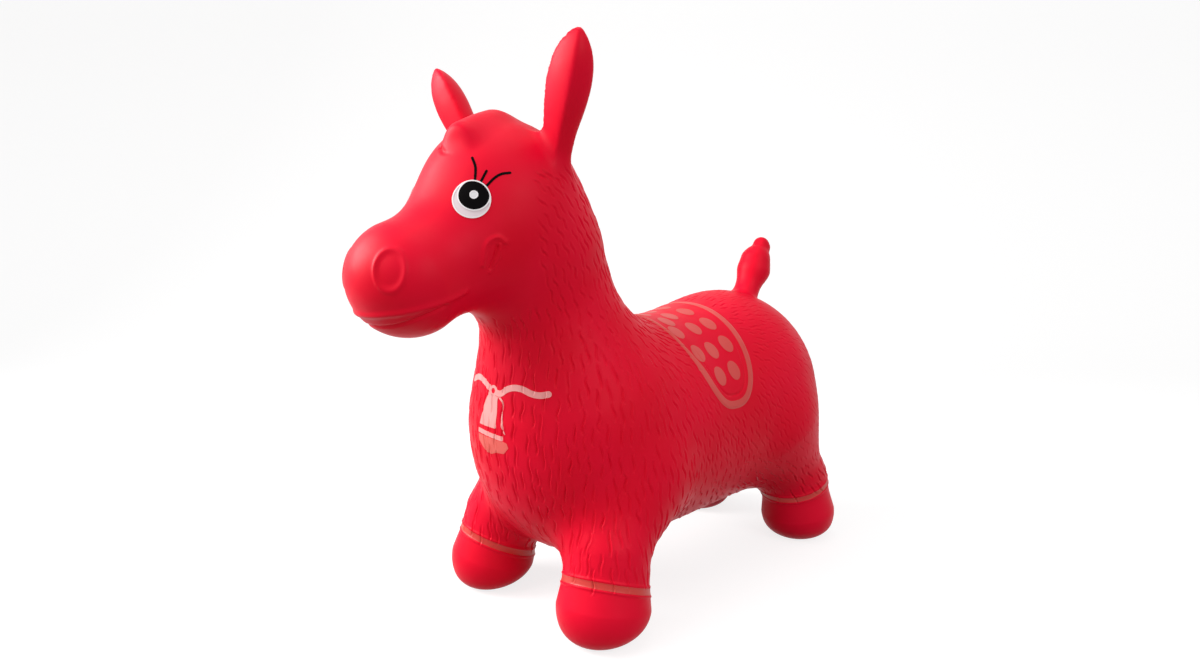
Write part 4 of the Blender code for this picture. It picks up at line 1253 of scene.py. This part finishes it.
def plastic(name, dark, light, roughness, gloss=0.4):
    """Satin plastic or paint: two near colours in soft clouds, uneven gloss and a fine grain."""
    material = bpy.data.materials.new(name)
    material.use_nodes = True
    tree = material.node_tree
    shader = tree.nodes["Principled BSDF"]
    feed(tree, shader, {"Roughness": roughness, "Specular IOR Level": gloss})
    clouds = spread(tree, noise(tree, *CLOUD_NOISE), 0, 1)
    grain = {"Strength": GRAIN_STRENGTH, "Distance": GRAIN_HEIGHT, "Height": noise(tree, *GRAIN_NOISE)}
    feed(tree, shader, {
        "Base Color": mixed(tree, clouds, dark, light),
        "Roughness": spread(tree, noise(tree, *GLOSS_NOISE), *(roughness + GLOSS_RANGE)),
        "Normal": new_node(tree, "ShaderNodeBump", grain).outputs["Normal"],
    })
    return material


def paper():
    """White paper, bright to the camera and in reflections, that throws little light back up."""
    material = plastic("paper", PAPER_BOUNCE, PAPER_BOUNCE, *PAPER_GLOSS)
    tree = material.node_tree
    path = new_node(tree, "ShaderNodeLightPath", {})
    seen = path.outputs["Is Camera Ray"]
    for kind in ("Is Glossy Ray", "Is Transmission Ray"):
        either = new_node(tree, "ShaderNodeMath", {0: seen, 1: path.outputs[kind]}, operation="MAXIMUM")
        seen = either.outputs["Value"]
    glow = new_node(tree, "ShaderNodeMath", {0: seen, 1: PAPER_GLOW}, operation="MULTIPLY")
    feed(tree, tree.nodes["Principled BSDF"], {
        "Base Color": mixed(tree, seen, PAPER_BOUNCE, PAPER_WHITE),
        "Emission Color": WHITE,
        "Emission Strength": glow.outputs["Value"],
    })
    return material


# The studio. Each light has its place to the right, toward the camera and up, its size and its power
PHOTO_RIGHT = at(math.cos(CAMERA_TURN), math.sin(CAMERA_TURN), 0)
PHOTO_TOWARD = at(math.sin(CAMERA_TURN), -math.cos(CAMERA_TURN), 0)
WHITE = (1, 1, 1, 1)
FLOOR_DROP = 0.0002
FLOOR_REACH = 4.0
FLOOR_CURVE = 1.2
FLOOR_RISE = 5.0
FLOOR_HALF_WIDTH = 6.0
FLOOR_TURNS = np.linspace(0.1, math.pi / 2, 16)
SKY = 0.60
PAPER_BOUNCE = (140, 132, 132)
PAPER_WHITE = (150, 150, 150)
PAPER_GLOW = 0.80
PAPER_GLOSS = (0.9, 0.1)
LIGHT_TARGET = at(0, 0, 0.22)
LIGHTS = (
    ("left", (-1.35, 0.0, 0.95), 0.9, 25),
    ("key", (-1.1, 0.75, 1.25), 0.9, 7),
    ("right", (0.9, 1.1, 1.0), 0.9, 5),
    ("top", (0.0, 0.1, 1.6), 1.0, 3.5),
)


def floor():
    """A white floor that curves up behind the horse."""
    bend = FLOOR_CURVE + FLOOR_CURVE * np.stack([np.sin(FLOOR_TURNS), -np.cos(FLOOR_TURNS)], axis=1)
    profile = [(-FLOOR_REACH, 0), (FLOOR_CURVE, 0), *bend, (2 * FLOOR_CURVE, FLOOR_RISE)]
    points = []
    for reach, height in profile:
        for side in (-FLOOR_HALF_WIDTH, FLOOR_HALF_WIDTH):
            level = PHOTO_RIGHT * side - PHOTO_TOWARD * reach
            points.append(level + at(0, 0, height - FLOOR_DROP))
    faces = [[2 * i, 2 * i + 1, 2 * i + 3, 2 * i + 2] for i in range(len(profile) - 1)]
    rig.stage(mesh_object("floor", np.array(points), faces, paper()))


def sky():
    """Even white light from all round."""
    world = bpy.data.worlds.new("studio")
    bpy.context.scene.world = world
    world.use_nodes = True
    tree = world.node_tree
    feed(tree, tree.nodes["Background"], {"Color": WHITE, "Strength": SKY})


def lamps():
    """Soft round lamps."""
    for name, place, size, power in LIGHTS:
        light = bpy.data.lights.new(name, "AREA")
        light.shape = "DISK"
        light.size = size
        light.energy = power
        lamp = linked(name, light)
        spot = PHOTO_RIGHT * place[0] + PHOTO_TOWARD * place[1] + at(0, 0, place[2])
        lamp.location = spot
        lamp.rotation_euler = Vector(LIGHT_TARGET - spot).to_track_quat("-Z", "Y").to_euler()
        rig.stage(lamp)


def photo_camera():
    """The camera at the photograph's angle and distance."""
    data = bpy.data.cameras.new("photo")
    data.sensor_width = SENSOR_WIDTH
    data.lens = FOCAL_PIXELS / PHOTO_WIDTH * SENSOR_WIDTH
    camera = linked("photo", data)
    back = PHOTO_TOWARD * math.cos(CAMERA_RISE) + at(0, 0, math.sin(CAMERA_RISE))
    camera.location = CAMERA_TARGET + back * CAMERA_DISTANCE
    camera.rotation_euler = Vector(back).to_track_quat("Z", "Y").to_euler()
    bpy.context.scene.camera = camera


def paints():
    """A material for each print."""
    white = plastic("white_paint", (238, 234, 235), (244, 240, 241), 0.40)
    grey = plastic("eye_paint", (226, 210, 215), (236, 221, 226), 0.40)
    pale = plastic("glint_paint", (222, 220, 222), (230, 228, 230), 0.40)
    black = plastic("black_paint", (5, 3, 4), (9, 6, 7), 0.35, 0.06)
    tan = plastic("tan_paint", (212, 66, 62), (224, 82, 78), 0.45)
    ring = plastic("ring_paint", (200, 48, 42), (212, 62, 54), 0.42)
    peach = plastic("peach_paint", (238, 154, 150), (246, 174, 170), 0.45)
    deep = plastic("fringe_paint", (222, 88, 78), (236, 106, 96), 0.45)
    return {
        "eye_white": grey, "pupil": black, "eye_glint": pale, "eye_rim": white, "lashes": black,
        "saddle_border": tan, "saddle_dots": tan, "chest_ribbon": peach, "chest_bell": peach,
        "chest_fringe": deep, "front_stripe": ring, "hind_stripe": ring,
    }


def dress_valve():
    """Materials for the valve's bush and plug."""
    looks = {
        "valve_bush": plastic("bush_plastic", (150, 12, 26), (162, 16, 30), 0.40),
        "valve_plug": plastic("plug_plastic", (228, 226, 222), (238, 236, 232), 0.38),
    }
    for name, look in looks.items():
        materials = bpy.data.objects[name].data.materials
        materials.clear()
        materials.append(look)


def write_sizes():
    """Notes the boxes of the solids and of the finished scene."""
    with open("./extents.json", "w") as file:
        json.dump({"cad": plain(CAD_BOX), "scene": plain(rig.bounds())}, file)


def plain(box):
    """A box as plain lists of numbers."""
    return [[float(value) for value in corner] for corner in box]


def main():
    skin = moulded_skin()
    build_skin(skin, plastic("red_skin", (226, 7, 40), (235, 11, 50), 0.44, 0.10))
    build_prints(skin, paints())
    dress_valve()
    floor()
    sky()
    lamps()
    photo_camera()
    bpy.context.scene.view_settings.view_transform = "Standard"
    write_sizes()


main()
